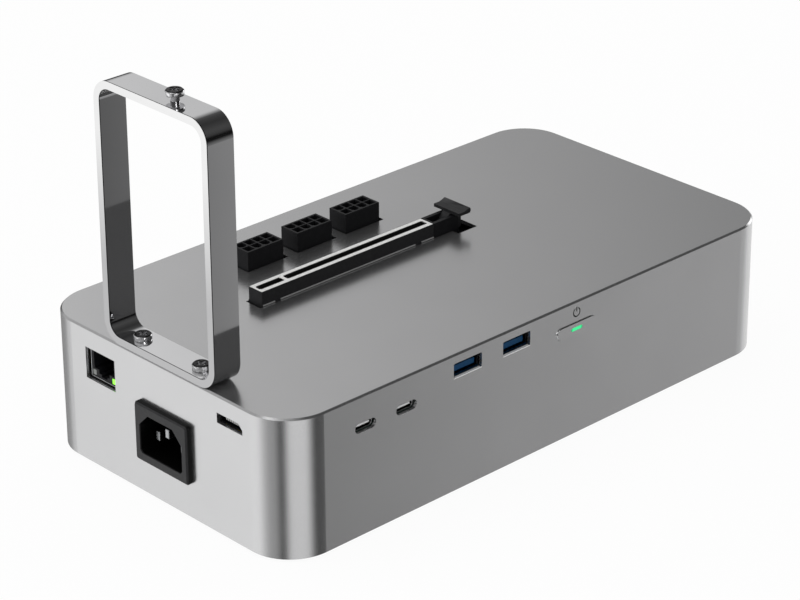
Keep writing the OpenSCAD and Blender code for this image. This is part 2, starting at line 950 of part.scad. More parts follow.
// Moulding of the card slot
module slot_body() {
  color("#2b2c2e")
    difference() {
      union() {
        translate([slot_x0, slot_y - slot_w / 2, board_top])
          cube([slot_l, slot_w, slot_h]);
        for (s = slot_ledges)
          translate([s[0], slot_y - slot_w / 2 - ledge_w, top_z + seat_gap])
            cube([s[1] - s[0], slot_w + 2 * ledge_w, ledge_t]);
      }
      translate([slot_x0 + liner_rim, slot_y - slot_w / 2 + liner_rim, slot_top - liner_t])
        cube([slot_l - 2 * liner_rim, slot_w - 2 * liner_rim, liner_t + over]);
      translate([0, 0, slot_top - groove_depth])
        linear_extrude(groove_depth) {
          groove_plan(slot_x0 + groove_end, groove_short, groove_in_w);
          groove_plan(groove_long_x, groove_long, groove_in_w);
        }
    }
}

slot_ledges = [
  [slot_x0, slot_x0 + ledge_break_inset],
  [slot_x0 + ledge_break_inset + ledge_break, slot_x1 - ledge_break_inset - ledge_break],
  [slot_x1 - ledge_break_inset, slot_x1]];

// Pale frame round the mouth of the slot
module slot_liner() {
  color("#e9e9e6")
    translate([0, 0, slot_top - liner_t])
      linear_extrude(liner_t)
        difference() {
          translate([slot_x0 + liner_rim, slot_y - slot_w / 2 + liner_rim])
            square([slot_l - 2 * liner_rim, slot_w - 2 * liner_rim]);
          groove_plan(slot_x0 + groove_end, groove_short, groove_w);
          groove_plan(groove_long_x, groove_long, groove_w);
        }
}

// One row of spring contacts along a stretch of the groove
module contact_row(x, l, side) {
  count = floor(l / contact_pitch) - 1;
  for (i = [0:count - 1])
    translate([x + (i + 1) * l / (count + 1) - contact_w / 2,
        slot_y + side * groove_in_w / 2 - (side > 0 ? contact_t : 0), slot_top - groove_depth])
      cube([contact_w, contact_t, contact_h]);
}

// Contacts on both sides of the groove
module slot_contacts() {
  color("#c9a14a")
    for (side = [-1, 1]) {
      contact_row(slot_x0 + groove_end, groove_short, side);
      contact_row(groove_long_x, groove_long, side);
    }
}

// Two cheeks and a floor beyond the slot, which carry the latch
module latch_housing() {
  color("#232426")
    difference() {
      translate([slot_x1, slot_y - slot_w / 2, board_top])
        cube([latch_case_l, slot_w, slot_h]);
      translate([slot_x1 + case_end, slot_y - latch_in_w / 2, board_top + case_floor])
        cube([latch_case_l, latch_in_w, slot_h]);
      translate([pivot_x, slot_y + slot_w / 2 + over, pivot_z])
        rotate([90, 0, 0])
          cylinder(h = slot_w + 2 * over, r = pivot_r + run_gap);
    }
}

// Side view of the latch's lever and hook, about the pivot
module lever_plan() {
  circle(latch_eye_r);
  polygon([
    [-lever_back, 0], [0, -lever_back], [lever_face, lever_heel], [lever_face, pad_low],
    [pad_start, pad_low], [-lever_back, hook_top],
    [-hook_reach, hook_low + lever_back], [-hook_reach, hook_low], [-lever_back, hook_low]]);
}

// Side view of the thumb pad: a lip, a rising slab and a bulging end
module pad_plan() {
  end = pad_start + pad_l;
  top = pad_low + pad_t + pad_rise;
  mid = (pad_low + top) / 2;
  polygon([
    [pad_start, pad_low], [end, pad_low], [end + pad_bulge, mid - pad_bulge],
    [end + pad_bulge, mid + pad_bulge], [end, top], [pad_start + pad_flat, pad_low + pad_t],
    [pad_start, pad_low + pad_t]]);
}

// Swinging latch that holds the tail of the card
module card_latch() {
  color("#1e1f21")
    translate([pivot_x, slot_y, pivot_z])
      rotate([90, 0, 0]) {
        translate([0, 0, -lever_w / 2])
          linear_extrude(lever_w)
            lever_plan();
        translate([0, 0, -pad_w / 2])
          linear_extrude(pad_w)
            pad_plan();
        translate([0, 0, -slot_w / 2 + seat_gap])
          cylinder(h = slot_w - 2 * seat_gap, r = pivot_r);
      }
}

// Plan of one pocket, with two bevelled corners where it is keyed
module pocket_plan(bevelled) {
  c = bevelled ? pocket_bevel : pocket_nick;
  h = pocket / 2;
  polygon([[c - h, -h], [h - c, -h], [h, c - h], [h, h], [-h, h], [-h, c - h]]);
}

// Centre of one way of a header
function way_place(i, column, row) = [
  header_x(i) + header_rim + (column + 1 / 2) * header_pitch,
  header_y + (row - 1 / 2) * header_pitch];

// Moulding of an eight-way supply header
module supply_header(i) {
  difference() {
    union() {
      translate([header_x(i), header_y - header_w / 2, board_top])
        cube([header_l, header_w, header_h]);
      translate([header_x(i) + header_l / 2 - header_catch_w / 2, header_y + header_w / 2 - over,
          board_top + header_h - header_catch_drop - header_catch_h])
        cube([header_catch_w, header_catch_t + over, header_catch_h]);
    }
    for (row = [0, 1], column = [0:header_ways - 1]) {
      p = way_place(i, column, row);
      translate([p[0], p[1], board_top + pocket_floor])
        linear_extrude(header_h)
          pocket_plan(bevelled_ways[row][column] > 0);
      translate([p[0] - (header_pin + seat_gap) / 2, p[1] - (header_pin + seat_gap) / 2, board_top - over])
        cube([header_pin + seat_gap, header_pin + seat_gap, header_h]);
    }
  }
}

module supply_header_1() {
  color("#27282a")
    supply_header(0);
}

module supply_header_2() {
  color("#27282a")
    supply_header(1);
}

module supply_header_3() {
  color("#27282a")
    supply_header(2);
}

// Square pins of all the headers, soldered to the board
module header_pins() {
  color("#c8b27a")
    for (i = [0:header_count - 1], row = [0, 1], column = [0:header_ways - 1]) {
      p = way_place(i, column, row);
      translate([p[0] - header_pin / 2, p[1] - header_pin / 2, board_top])
        cube([header_pin, header_pin, header_h - header_pin_low]);
    }
}

// Closed loop of flat bar that carries the card's end plate
module bracket_loop() {
  color("#b8b9bb")
    difference() {
      on_end(end_x, bracket_y, bracket_base + bracket_h / 2, bracket_bar_w)
        difference() {
          rounded_plan(bracket_w, bracket_h, bracket_bend_r);
          rounded_plan(bracket_w - 2 * bracket_bar_t, bracket_h - 2 * bracket_bar_t,
            bracket_bend_r - bracket_bar_t);
        }
      for (s = [-1, 1])
        translate([bracket_mid_x, bracket_y + s * bracket_screw_step / 2, bracket_base - over])
          cylinder(h = bracket_bar_t + 2 * over, r = bracket_bore_r);
      translate([bracket_mid_x, card_screw_y, bracket_top - bracket_bar_t - over])
        cylinder(h = bracket_bar_t + 2 * over, r = bracket_bore_r);
    }
}

// Two screws that hold the bracket to the housing
module bracket_screws() {
  color("#c3c5c8")
    for (s = [-1, 1])
      translate([bracket_mid_x, bracket_y + s * bracket_screw_step / 2, bracket_base + bracket_bar_t])
        pan_screw(big_head_r, big_head_h, big_screw_r, bracket_screw_l);
}

// Screw for the card's end plate, shown partly undone
module card_screw() {
  color("#c3c5c8")
    translate([bracket_mid_x, card_screw_y, bracket_top + card_screw_lift])
      pan_screw(big_head_r, big_head_h, big_screw_r, card_screw_l);
}

// Sheet-metal shield of the network jack, open at the front
module network_jack_shield() {
  color("#aeb0b3")
    difference() {
      on_end(jack_x, jack_y, jack_top - jack_h / 2, jack_d)
        square([jack_w, jack_h], center = true);
      on_end(jack_x - over, jack_y, jack_top - jack_h / 2, jack_d - jack_skin + over)
        square([jack_w - 2 * jack_skin, jack_h - 2 * jack_skin], center = true);
      for (sx = [-1, 1], sy = [-1, 1])
        translate([jack_x + jack_d / 2 + sx * (jack_d / 2 - jack_foot_inset),
            jack_y + sy * (jack_w / 2 - jack_foot_inset), jack_top - jack_skin - over])
          cylinder(h = jack_skin + 2 * over, r = jack_foot / 2 + seat_gap);
    }
}

// Mouth of the jack, with the keyway for the plug's tab below
module jack_mouth_plan() {
  top = jack_h / 2 - jack_plug_top;
  translate([-jack_plug_w / 2, top - jack_plug_h])
    square([jack_plug_w, jack_plug_h]);
  translate([-jack_tab_w / 2, top - jack_plug_h - jack_tab_h])
    square([jack_tab_w, jack_tab_h + over]);
  translate([-jack_key_w / 2, top - jack_plug_h - jack_tab_h - jack_key_h])
    square([jack_key_w, jack_key_h + over]);
}

jack_lamp_places = [
  for (s = [-1, 1])
    [jack_y + s * (jack_w / 2 - jack_skin - jack_lamp_inset - jack_lamp_w / 2),
    jack_top - jack_h + jack_skin + jack_lamp_inset + jack_lamp_h / 2]];

// Insulating block inside the network jack
module network_jack_insert() {
  color("#1c1d1f")
    difference() {
      union() {
        on_end(jack_x + seat_gap, jack_y, jack_top - jack_h / 2, jack_d - jack_skin - seat_gap)
          square([jack_w - 2 * jack_skin, jack_h - 2 * jack_skin], center = true);
        for (sx = [-1, 1], sy = [-1, 1])
          translate([jack_x + jack_d / 2 + sx * (jack_d / 2 - jack_foot_inset),
              jack_y + sy * (jack_w / 2 - jack_foot_inset), jack_top - jack_skin - over])
            cylinder(h = jack_skin + jack_lift + over, r = jack_foot / 2);
      }
      on_end(jack_x - over, jack_y, jack_top - jack_h / 2, jack_plug_d + over)
        jack_mouth_plan();
      for (p = jack_lamp_places)
        on_end(jack_x - over, p[0], p[1], jack_lamp_d + over)
          square([jack_lamp_w, jack_lamp_h], center = true);
    }
}

// Eight sprung wires that slope down from the roof of the mouth
module network_jack_contacts() {
  reach = jack_plug_d - jack_wire_start;
  color("#caa54f")
    for (i = [0:jack_wires - 1])
      translate([jack_x + jack_plug_d, jack_y + (i - (jack_wires - 1) / 2) * jack_wire_pitch + jack_wire / 2,
          jack_top - jack_plug_top])
        rotate([90, 0, 0])
          linear_extrude(jack_wire)
            polygon([
              [-reach, 0], [-reach, -jack_wire], [0, -jack_wire_rake - jack_wire],
              [0, -jack_wire_rake], [jack_wire - reach, 0]]);
}

// Two lamps in the lower corners of the jack
module network_jack_lamps() {
  color("#7bd94a")
    for (p = jack_lamp_places)
      on_end(jack_x + seat_gap, p[0], p[1], jack_lamp_d - seat_gap)
        square([jack_lamp_w - seat_gap, jack_lamp_h - seat_gap], center = true);
}

// Outline of the inlet's socket, bevelled at its two upper corners
module socket_plan() {
  w = inlet_socket_w / 2;
  h = inlet_socket_h / 2;
  c = inlet_socket_bevel;
  f = inlet_socket_foot_bevel;
  polygon([
    [f - w, -h], [w - f, -h], [w, f - h], [w, h - c],
    [w - c, h], [c - w, h], [-w, h - c], [-w, f - h]]);
}

blade_places = [[-blade_step, -blade_drop, 0], [blade_step, -blade_drop, 0], [0, blade_raise, earth_extra]];

// Moulded mains inlet, snapped into the port end
module mains_inlet() {
  color("#2d2e30")
    difference() {
      union() {
        translate([end_x, inlet_y, inlet_z])
          rotate([0, -90, 0])
            bevelled_block(inlet_flange_h, inlet_flange_w, inlet_flange_r, inlet_proud, inlet_rim_bevel);
        on_end(end_x, inlet_y, inlet_z, inlet_socket_d + inlet_back_t - inlet_proud)
          square([inlet_block_w, inlet_block_h], center = true);
        for (s = [-1, 1])
          on_end(end_in_x + seat_gap, inlet_y + s * (inlet_block_w + inlet_ear_t) / 2, inlet_z, inlet_ear_l)
            square([inlet_ear_t, inlet_ear_w], center = true);
      }
      on_end(inlet_front - over, inlet_y, inlet_z, inlet_socket_d + over)
        socket_plan();
      for (p = blade_places)
        on_end(inlet_front, inlet_y + p[0], inlet_z + p[1], inlet_socket_d + inlet_back_t + over)
          square([blade_t + seat_gap / 2, blade_h + seat_gap / 2], center = true);
    }
}

// Three flat pins of the inlet, each with a tab behind
module inlet_blades() {
  color("#c9cbce")
    for (p = blade_places) {
      x = inlet_front + inlet_socket_d;
      on_end(x - blade_out - p[2], inlet_y + p[0], inlet_z + p[1], blade_out + p[2] + inlet_back_t)
        square([blade_t, blade_h], center = true);
      on_end(x + inlet_back_t, inlet_y + p[0], inlet_z + p[1], tab_l)
        square([tab_t, blade_h], center = true);
    }
}

// Leads from the inlet's tabs to the supply's terminals
module inlet_leads() {
  x0 = inlet_front + inlet_socket_d + inlet_back_t + tab_l;
  block = share_place(terminal_share);
  z2 = supply_top + terminal_h;
  color("#6b4a2c")
    for (i = [0:len(blade_places) - 1]) {
      p = blade_places[i];
      x1 = x0 + (i + 1) * lead_step;
      y0 = inlet_y + p[0];
      y1 = block[1] + (i - 1) * terminal_pitch;
      z0 = inlet_z + p[1];
      z1 = z2 + lead_hover + i * lead_step;
      lead([[x0, y0, z0], [x1, y0, z0], [x1, y0, z1], [x1, y1, z1], [block[0], y1, z1], [block[0], y1, z2]],
        lead_r);
    }
}

// Place on the supply's board for a pair of shares of its length and width
function share_place(s) = [supply_x0 + s[0] * supply_l, supply_y0 + s[1] * supply_w];

// Shell of the link port, fixed under the main board
module link_port_shell() {
  color("#77797d")
    difference() {
      on_end(end_in_x + seat_gap, link_y, link_top - link_h / 2, link_d)
        link_plan(0);
      on_end(end_in_x - over, link_y, link_top - link_h / 2, link_d + seat_gap - link_skin + over)
        link_plan(-link_skin);
    }
}

// Insulating tongue of the link port
module link_port_tongue() {
  color("#1c1d1f") {
    on_end(end_in_x + link_d / 2, link_y, link_top - link_h / 2, link_d / 2 - link_skin + seat_gap)
      link_plan(-link_skin);
    on_end(end_in_x + 2 * link_skin, link_y, link_top - link_h / 2 - link_skin, link_d / 2 - link_skin)
      square([link_tongue_w, link_tongue_t], center = true);
  }
}

// Shell of a wide port, sunk in its notch and held by two ears
module wide_port_shell(x) {
  y = front_y + port_recess;
  color("#b4b6b9") {
    difference() {
      on_front(x, y, wide_mid, wide_d)
        square([wide_port_w, wide_port_h], center = true);
      on_front(x, y - over, wide_mid, wide_d - port_skin + over)
        square([wide_port_w - 2 * port_skin, wide_port_h - 2 * port_skin], center = true);
    }
    for (s = [-1, 1])
      translate([x + s * (wide_port_w / 2 + wide_ear_w / 2) - wide_ear_w / 2, y + wide_ear_inset, board_top])
        cube([wide_ear_w, wide_ear_l, wide_ear_t]);
  }
}

module wide_port_shell_1() {
  wide_port_shell(wide_x[0]);
}

module wide_port_shell_2() {
  wide_port_shell(wide_x[1]);
}

// Blue tongue of a wide port with the block that holds it
module wide_port_tongue(x) {
  y = front_y + port_recess;
  color("#12427a") {
    on_front(x, y + wide_d - port_skin - wide_block_d, wide_mid, wide_block_d)
      square([wide_port_w - 2 * port_skin, wide_port_h - 2 * port_skin], center = true);
    on_front(x, y + wide_tongue_back, wide_mid - wide_tongue_drop,
        wide_d - port_skin - wide_block_d - wide_tongue_back)
      square([wide_tongue_w, wide_tongue_t], center = true);
  }
}

module wide_port_tongue_1() {
  wide_port_tongue(wide_x[0]);
}

module wide_port_tongue_2() {
  wide_port_tongue(wide_x[1]);
}

// Oval shell of a slim port, on the port board
module slim_port_shell(x) {
  y = front_y + port_recess;
  color("#a3a5a8")
    difference() {
      on_front(x, y, slim_mid, slim_d)
        stadium_plan(slim_port_w, slim_port_h);
      on_front(x, y - over, slim_mid, slim_d - slim_skin + over)
        stadium_plan(slim_port_w - 2 * slim_skin, slim_port_h - 2 * slim_skin);
    }
}

module slim_port_shell_1() {
  slim_port_shell(slim_x[0]);
}

module slim_port_shell_2() {
  slim_port_shell(slim_x[1]);
}

// Tongue of a slim port with the block that holds it
module slim_port_tongue(x) {
  y = front_y + port_recess;
  color("#2a2b2d") {
    on_front(x, y + slim_d - slim_skin - slim_block_d, slim_mid, slim_block_d)
      stadium_plan(slim_port_w - 2 * slim_skin, slim_port_h - 2 * slim_skin);
    on_front(x, y + slim_skin, slim_mid, slim_d - 2 * slim_skin - slim_block_d)
      square([slim_tongue_w, slim_tongue_t], center = true);
  }
}

module slim_port_tongue_1() {
  slim_port_tongue(slim_x[0]);
}

module slim_port_tongue_2() {
  slim_port_tongue(slim_x[1]);
}

// Small board that carries the slim ports
module port_board() {
  color("#1d4a35")
    difference() {
      translate([port_board_x0, port_board_y0, port_board_low])
        cube([port_board_x1 - port_board_x0, port_board_w, port_board_t]);
      for (x = port_pillar_x)
        translate([x, port_pillar_y, port_board_low - over])
          cylinder(h = port_board_t + 2 * over, r = small_screw_r + screw_hole_gap);
    }
}

// Pillars between the port board and the main board
module port_board_pillars() {
  color("#c2a45a")
    for (x = port_pillar_x)
      translate([x, port_pillar_y, port_board_top])
        difference() {
          cylinder(h = board_low - port_board_top, r = pillar_r);
          translate([0, 0, -over])
            cylinder(h = board_low - port_board_top - over, r = small_screw_r + run_gap);
        }
}

// Screws that hold the port board to its pillars
module port_board_screws() {
  color("#b9bbbf")
    for (x = port_pillar_x)
      translate([x, port_pillar_y, port_board_low])
        mirror([0, 0, 1])
          pan_screw(small_head_r, small_head_h, small_screw_r, port_screw_l);
}

// Plug and socket that join the port board to the main board
module port_board_link() {
  color("#1c1d1f")
    translate([(port_board_x0 + port_board_x1 - link_block_l) / 2, port_pillar_y - link_block_w / 2,
        port_board_top])
      cube([link_block_l, link_block_w, board_low - port_board_top]);
}

// Controller chips under the main board
module board_chips() {
  color("#202123") {
    translate([chip_x - chip_side / 2, chip_y - chip_side / 2, board_low - chip_t])
      cube([chip_side, chip_side, chip_t]);
    for (p = small_chip_places)
      translate([p[0] - small_chip_side / 2, p[1] - small_chip_side / 2, board_low - small_chip_t])
        cube([small_chip_side, small_chip_side, small_chip_t]);
  }
}

// Finned heatsink stuck to the large chip
module chip_heatsink() {
  low = board_low - chip_t - sink_base;
  color("#7f8286") {
    translate([chip_x - sink_side / 2, chip_y - sink_side / 2, low])
      cube([sink_side, sink_side, sink_base]);
    for (i = [0:sink_fins - 1])
      translate([chip_x - sink_side / 2,
          chip_y - sink_side / 2 + i * (sink_side - sink_fin_t) / (sink_fins - 1), low - sink_fin_h])
        cube([sink_side, sink_fin_t, sink_fin_h]);
  }
}

// Sliding button cap with a flange behind the wall and a stem
module power_button() {
  color("#96979a")
    difference() {
      union() {
        on_front(button_x, front_y - button_proud, button_z, wall_t + button_proud + button_flange_t)
          stadium_plan(button_l, button_h);
        on_front(button_x, button_flange_y, button_z, button_flange_t)
          stadium_plan(button_l + 2 * button_flange_edge, button_h + 2 * button_flange_edge);
        on_front(button_x, button_flange_y, button_z, plunger_y - button_flange_y)
          circle(button_stem_r);
      }
      on_front(button_x, front_y - button_proud - over, button_z, wall_t + button_proud + over)
        stadium_plan(lamp_l + seat_gap, lamp_h + seat_gap);
    }
}

// Light bar set in the button's face
module button_lamp() {
  color("#33e68a")
    on_front(button_x, front_y - button_proud, button_z, wall_t + button_proud)
      stadium_plan(lamp_l, lamp_h);
}

// Plunger of the switch, pushed by the button's stem
module switch_plunger() {
  color("#3a3b3e")
    on_front(button_x, plunger_y, button_z, plunger_l + plunger_in)
      circle(plunger_r);
}

// Case of the switch behind the button
module switch_case() {
  color("#1c1d1f")
    difference() {
      on_front(button_x, switch_y, button_z, switch_t)
        square([switch_side, switch_side], center = true);
      on_front(button_x, switch_y - over, button_z, over + plunger_in + button_travel + seat_gap)
        circle(plunger_r + run_gap);
    }
}

// Upright board that carries the switch, under the main board
module button_board() {
  color("#1d4a35")
    translate([button_x - button_board_w / 2, button_board_y, board_low - button_board_drop])
      cube([button_board_w, button_board_t, button_board_drop]);
}

// Square frame of the fan with its bearing
module fan_frame() {
  color("#242527")
    translate([fan_x, 0, cover_top])
      difference() {
        union() {
          difference() {
            linear_extrude(fan_h)
              rounded_plan(fan_size, fan_size, fan_corner_r);
            translate([0, 0, -over])
              cylinder(h = fan_h + 2 * over, r = fan_bore_r);
          }
          intersection() {
            cylinder(h = fan_base_t, r = fan_bore_r + over);
            for (i = [0:fan_struts - 1])
              rotate(45 + i * 360 / fan_struts)
                translate([0, -fan_strut_w / 2, 0])
                  cube([fan_size, fan_strut_w, fan_base_t]);
          }
          cylinder(h = fan_base_t, r = fan_hub_r);
          cylinder(h = bearing_h, r = bearing_r);
        }
        translate([0, 0, fan_base_t / 2])
          cylinder(h = fan_h, r = fan_shaft_r + run_gap);
        for (sx = [-1, 1], sy = [-1, 1])
          translate([sx * fan_hole_step / 2, sy * fan_hole_step / 2, -over])
            cylinder(h = fan_h + 2 * over, r = fan_hole_r);
      }
}

// Hub, shaft and pitched blades of the fan
module fan_rotor() {
  blade_h = fan_h - blade_low - blade_high;
  color("#303134")
    translate([fan_x, 0, cover_top]) {
      difference() {
        translate([0, 0, blade_low])
          cylinder(h = blade_h, r = fan_hub_r);
        translate([0, 0, blade_low - over])
          cylinder(h = blade_h - hub_skin + over, r = fan_hub_r - hub_skin);
      }
      translate([0, 0, fan_base_t / 2 + seat_gap])
        cylinder(h = fan_h - blade_high - fan_base_t / 2 - seat_gap, r = fan_shaft_r);
      intersection() {
        translate([0, 0, blade_low])
          difference() {
            cylinder(h = blade_h, r = fan_bore_r - blade_clear);
            translate([0, 0, -over])
              cylinder(h = blade_h + 2 * over, r = fan_hub_r - hub_skin / 2);
          }
        for (i = [0:blade_count - 1])
          rotate(i * 360 / blade_count)
            translate([0, 0, blade_low + blade_h / 2])
              rotate([blade_pitch, 0, 0])
                translate([0, -fan_h, -blade_thick / 2])
                  cube([fan_size / 2, 2 * fan_h, blade_thick]);
      }
    }
}

// Sunk screws that hold the fan to the cover
module fan_screws() {
  color("#3a3b3e")
    for (p = fan_hole_places)
      translate([p[0], p[1], cover_low])
        sunk_screw(fan_head_r, cover_head_h, fan_screw_r, fan_screw_l);
}

// Board of the power supply
module supply_board() {
  color("#8a6a35")
    difference() {
      translate([supply_x0, supply_y0, supply_low])
        cube([supply_l, supply_w, supply_t]);
      for (p = supply_places)
        translate([p[0], p[1], supply_low - over])
          cylinder(h = supply_t + 2 * over, r = small_screw_r + screw_hole_gap);
    }
}

// Spacers between the supply's board and the bottom cover
module supply_pillars() {
  color("#c2a45a")
    for (p = supply_places)
      translate([p[0], p[1], 0])
        difference() {
          translate([0, 0, cover_top])
            cylinder(h = supply_lift, r = pillar_r);
          translate([0, 0, cover_top - over])
            cylinder(h = supply_lift + 2 * over, r = small_screw_r + run_gap);
        }
}

// Screws that hold the supply's board to its pillars
module supply_screws() {
  color("#b9bbbf")
    for (p = supply_places)
      translate([p[0], p[1], supply_top])
        pan_screw(small_head_r, small_head_h, small_screw_r, supply_t + supply_lift + cover_t - seat_gap);
}

// Two large capacitors
module supply_capacitors() {
  p = share_place(cap_share);
  color("#2c3e63")
    for (s = [-1, 1])
      translate([p[0], p[1] + s * cap_step / 2, supply_top]) {
        cylinder(h = cap_h - cap_bevel, r = cap_r);
        translate([0, 0, cap_h - cap_bevel])
          cylinder(h = cap_bevel, r1 = cap_r, r2 = cap_r - cap_bevel);
      }
}

// Transformer: a square core round a wound bobbin
module supply_transformer() {
  p = share_place(core_share);
  color("#b08d3f")
    translate([p[0], p[1], supply_top])
      difference() {
        union() {
          translate([-core_l / 2, -core_w / 2, 0])
            cube([core_l, core_w, core_h]);
          translate([0, 0, core_leg])
            cylinder(h = core_h - 2 * core_leg, r = winding_r);
        }
        for (s = [-1, 1])
          translate([-core_l / 2 + core_leg, s * core_w / 2 - (s > 0 ? core_leg : over), core_leg])
            cube([core_l - 2 * core_leg, core_leg + over, core_h - 2 * core_leg]);
      }
}

// Two heatsinks, each an upright plate with ribs
module supply_heatsinks() {
  color("#8f9296")
    for (i = [0, 1]) {
      p = share_place([sink_x_share, sink_y_shares[i]]);
      side = i == 0 ? -1 : 1;
      translate([p[0] - sink_l / 2, p[1] - sink_plate_t / 2, supply_top])
        cube([sink_l, sink_plate_t, sink_h]);
      for (k = [0:sink_ribs - 1])
        translate([p[0] - sink_l / 2 + k * (sink_l - sink_rib_t) / (sink_ribs - 1),
            p[1] + side * (sink_plate_t + sink_rib_l) / 2 - sink_rib_l / 2 - side * seat_gap, supply_top])
          cube([sink_rib_t, sink_rib_l, sink_h]);
    }
}

// Power transistors on the heatsinks' inner faces
module supply_transistors() {
  color("#1c1d1f")
    for (i = [0, 1], t = transistor_shares) {
      p = share_place([sink_x_share, sink_y_shares[i]]);
      side = i == 0 ? 1 : -1;
      translate([p[0] - sink_l / 2 + t * sink_l - transistor_w / 2,
          p[1] + side * (sink_plate_t + transistor_t) / 2 - transistor_t / 2, supply_top + transistor_lift])
        cube([transistor_w, transistor_t, transistor_h]);
    }
}

// Ring-shaped output choke, lying on the board
module supply_choke() {
  p = share_place(choke_share);
  color("#a8602c")
    translate([p[0], p[1], supply_top + choke_tube_r])
      rotate_extrude()
        translate([choke_r, 0])
          circle(choke_tube_r);
}

// Input filter: a wound block, a film capacitor and the terminals
module supply_filter() {
  winding = share_place(filter_share);
  box = share_place(filter_box_share);
  terminal = share_place(terminal_share);
  color("#c4a02e") {
    translate([winding[0] - filter_l / 2, winding[1] - filter_w / 2, supply_top])
      cube([filter_l, filter_w, filter_h]);
    translate([box[0] - filter_box_l / 2, box[1] - filter_box_w / 2, supply_top])
      cube([filter_box_l, filter_box_w, filter_box_h]);
    translate([terminal[0] - terminal_l / 2, terminal[1] - terminal_w / 2, supply_top])
      cube([terminal_l, terminal_w, terminal_h]);
  }
}

// Leads from the supply's output up to the main board
module supply_leads() {
  x = supply_x0 + output_lead_share * supply_l;
  y = supply_y0 + output_share * supply_w;
  color("#c9b13a")
    for (i = [0:output_leads - 1]) {
      ly = y + (i - (output_leads - 1) / 2) * output_lead_pitch;
      lz = board_low - lead_rise;
      lead([[x, ly, supply_top], [x, ly, lz], [supply_x1, ly, lz], [supply_x1, ly, board_low]], lead_r);
    }
}

// Leads from the fan up to the main board
module fan_leads() {
  x = fan_x - fan_size / 2;
  color("#7a2a26")
    for (i = [0:2]) {
      y = fan_lead_y + i * fan_lead_pitch;
      z = cover_top + fan_h / 2;
      lead([[x, y, z], [x - fan_lead_out, y, z], [x - fan_lead_out, y, board_low]], lead_r);
    }
}

housing_shell();
bottom_cover();
cover_screws();
rubber_feet();
main_board();
board_screws();
slot_body();
slot_liner();
slot_contacts();
latch_housing();
card_latch();
supply_header_1();
supply_header_2();
supply_header_3();
header_pins();
bracket_loop();
bracket_screws();
card_screw();
network_jack_shield();
network_jack_insert();
network_jack_contacts();
network_jack_lamps();
mains_inlet();
inlet_blades();
inlet_leads();
link_port_shell();
link_port_tongue();
wide_port_shell_1();
wide_port_shell_2();
wide_port_tongue_1();
wide_port_tongue_2();
slim_port_shell_1();
slim_port_shell_2();
slim_port_tongue_1();
slim_port_tongue_2();
port_board();
port_board_pillars();
port_board_screws();
port_board_link();
board_chips();
chip_heatsink();
power_button();
button_lamp();
switch_plunger();
switch_case();
button_board();
fan_frame();
fan_rotor();
fan_screws();
fan_leads();
supply_board();
supply_pillars();
supply_screws();
supply_capacitors();
supply_transformer();
supply_heatsinks();
supply_transistors();
supply_choke();
supply_filter();
supply_leads();
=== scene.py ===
import math

import bmesh
import bpy
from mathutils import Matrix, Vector


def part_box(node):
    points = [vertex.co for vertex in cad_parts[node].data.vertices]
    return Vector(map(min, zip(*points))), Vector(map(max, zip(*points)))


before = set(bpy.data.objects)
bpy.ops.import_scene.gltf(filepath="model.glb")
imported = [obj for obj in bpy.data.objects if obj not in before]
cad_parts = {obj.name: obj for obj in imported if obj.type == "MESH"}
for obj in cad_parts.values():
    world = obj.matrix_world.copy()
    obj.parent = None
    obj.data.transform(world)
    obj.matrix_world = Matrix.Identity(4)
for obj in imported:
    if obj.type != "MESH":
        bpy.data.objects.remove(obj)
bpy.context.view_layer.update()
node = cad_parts
mm = 0.001


# The camera stands before the left front corner, above the table, with a long
# lens. The frame is a shifted crop, so the lens axis meets it right of its
# middle and high up.
def stand(name, data, place=(0, 0, 0)):
    made = bpy.data.objects.new(name, data)
    made.location = place
    scene.collection.objects.link(made)
    return made


def look(made, direction):
    made.rotation_mode = "QUATERNION"
    made.rotation_quaternion = Vector(direction).to_track_quat("-Z", "Y")


scene = bpy.context.scene
scene.view_settings.view_transform = "Standard"
lens = bpy.data.cameras.new("studio_camera")
lens.sensor_width = 36
lens.lens = 133.31
lens.shift_x = -0.0499
lens.shift_y = -0.1430
lens.clip_start = 0.05
lens.clip_end = 60
lens_place = (-0.71644, -0.75192, 0.54189)
turn = math.radians(-44.09)
rise = math.radians(23.60)
scene.camera = stand("studio_camera", lens, lens_place)
look(scene.camera, (-math.sin(turn) * math.cos(rise), math.cos(turn) * math.cos(rise), -math.sin(rise)))


# The floor is a sheet of pale paper that reads white from above and keeps the
# object's soft shadow. Polished metal doesn't mirror it, and from below it is
# clear, so that the underside can be seen.
def new_finish(name):
    finish = bpy.data.materials.new(name)
    finish.use_nodes = True
    tree = finish.node_tree
    return finish, tree, tree.nodes["Principled BSDF"]


def add(tree, kind, **values):
    made = tree.nodes.new(kind)
    for key, value in values.items():
        if hasattr(made, key) and key not in made.inputs:
            setattr(made, key, value)
        else:
            made.inputs[key].default_value = value
    return made


def reckon(tree, operation, first, second=None):
    made = add(tree, "ShaderNodeMath", operation=operation)
    for socket, value in zip(made.inputs, (first, second)):
        if isinstance(value, (int, float)):
            socket.default_value = value
        elif value is not None:
            tree.links.new(value, socket)
    return made.outputs[0]


def mixed(tree, share, under, over):
    made = add(tree, "ShaderNodeMixShader")
    tree.links.new(share, made.inputs["Fac"])
    tree.links.new(under, made.inputs[1])
    tree.links.new(over, made.inputs[2])
    return made.outputs[0]


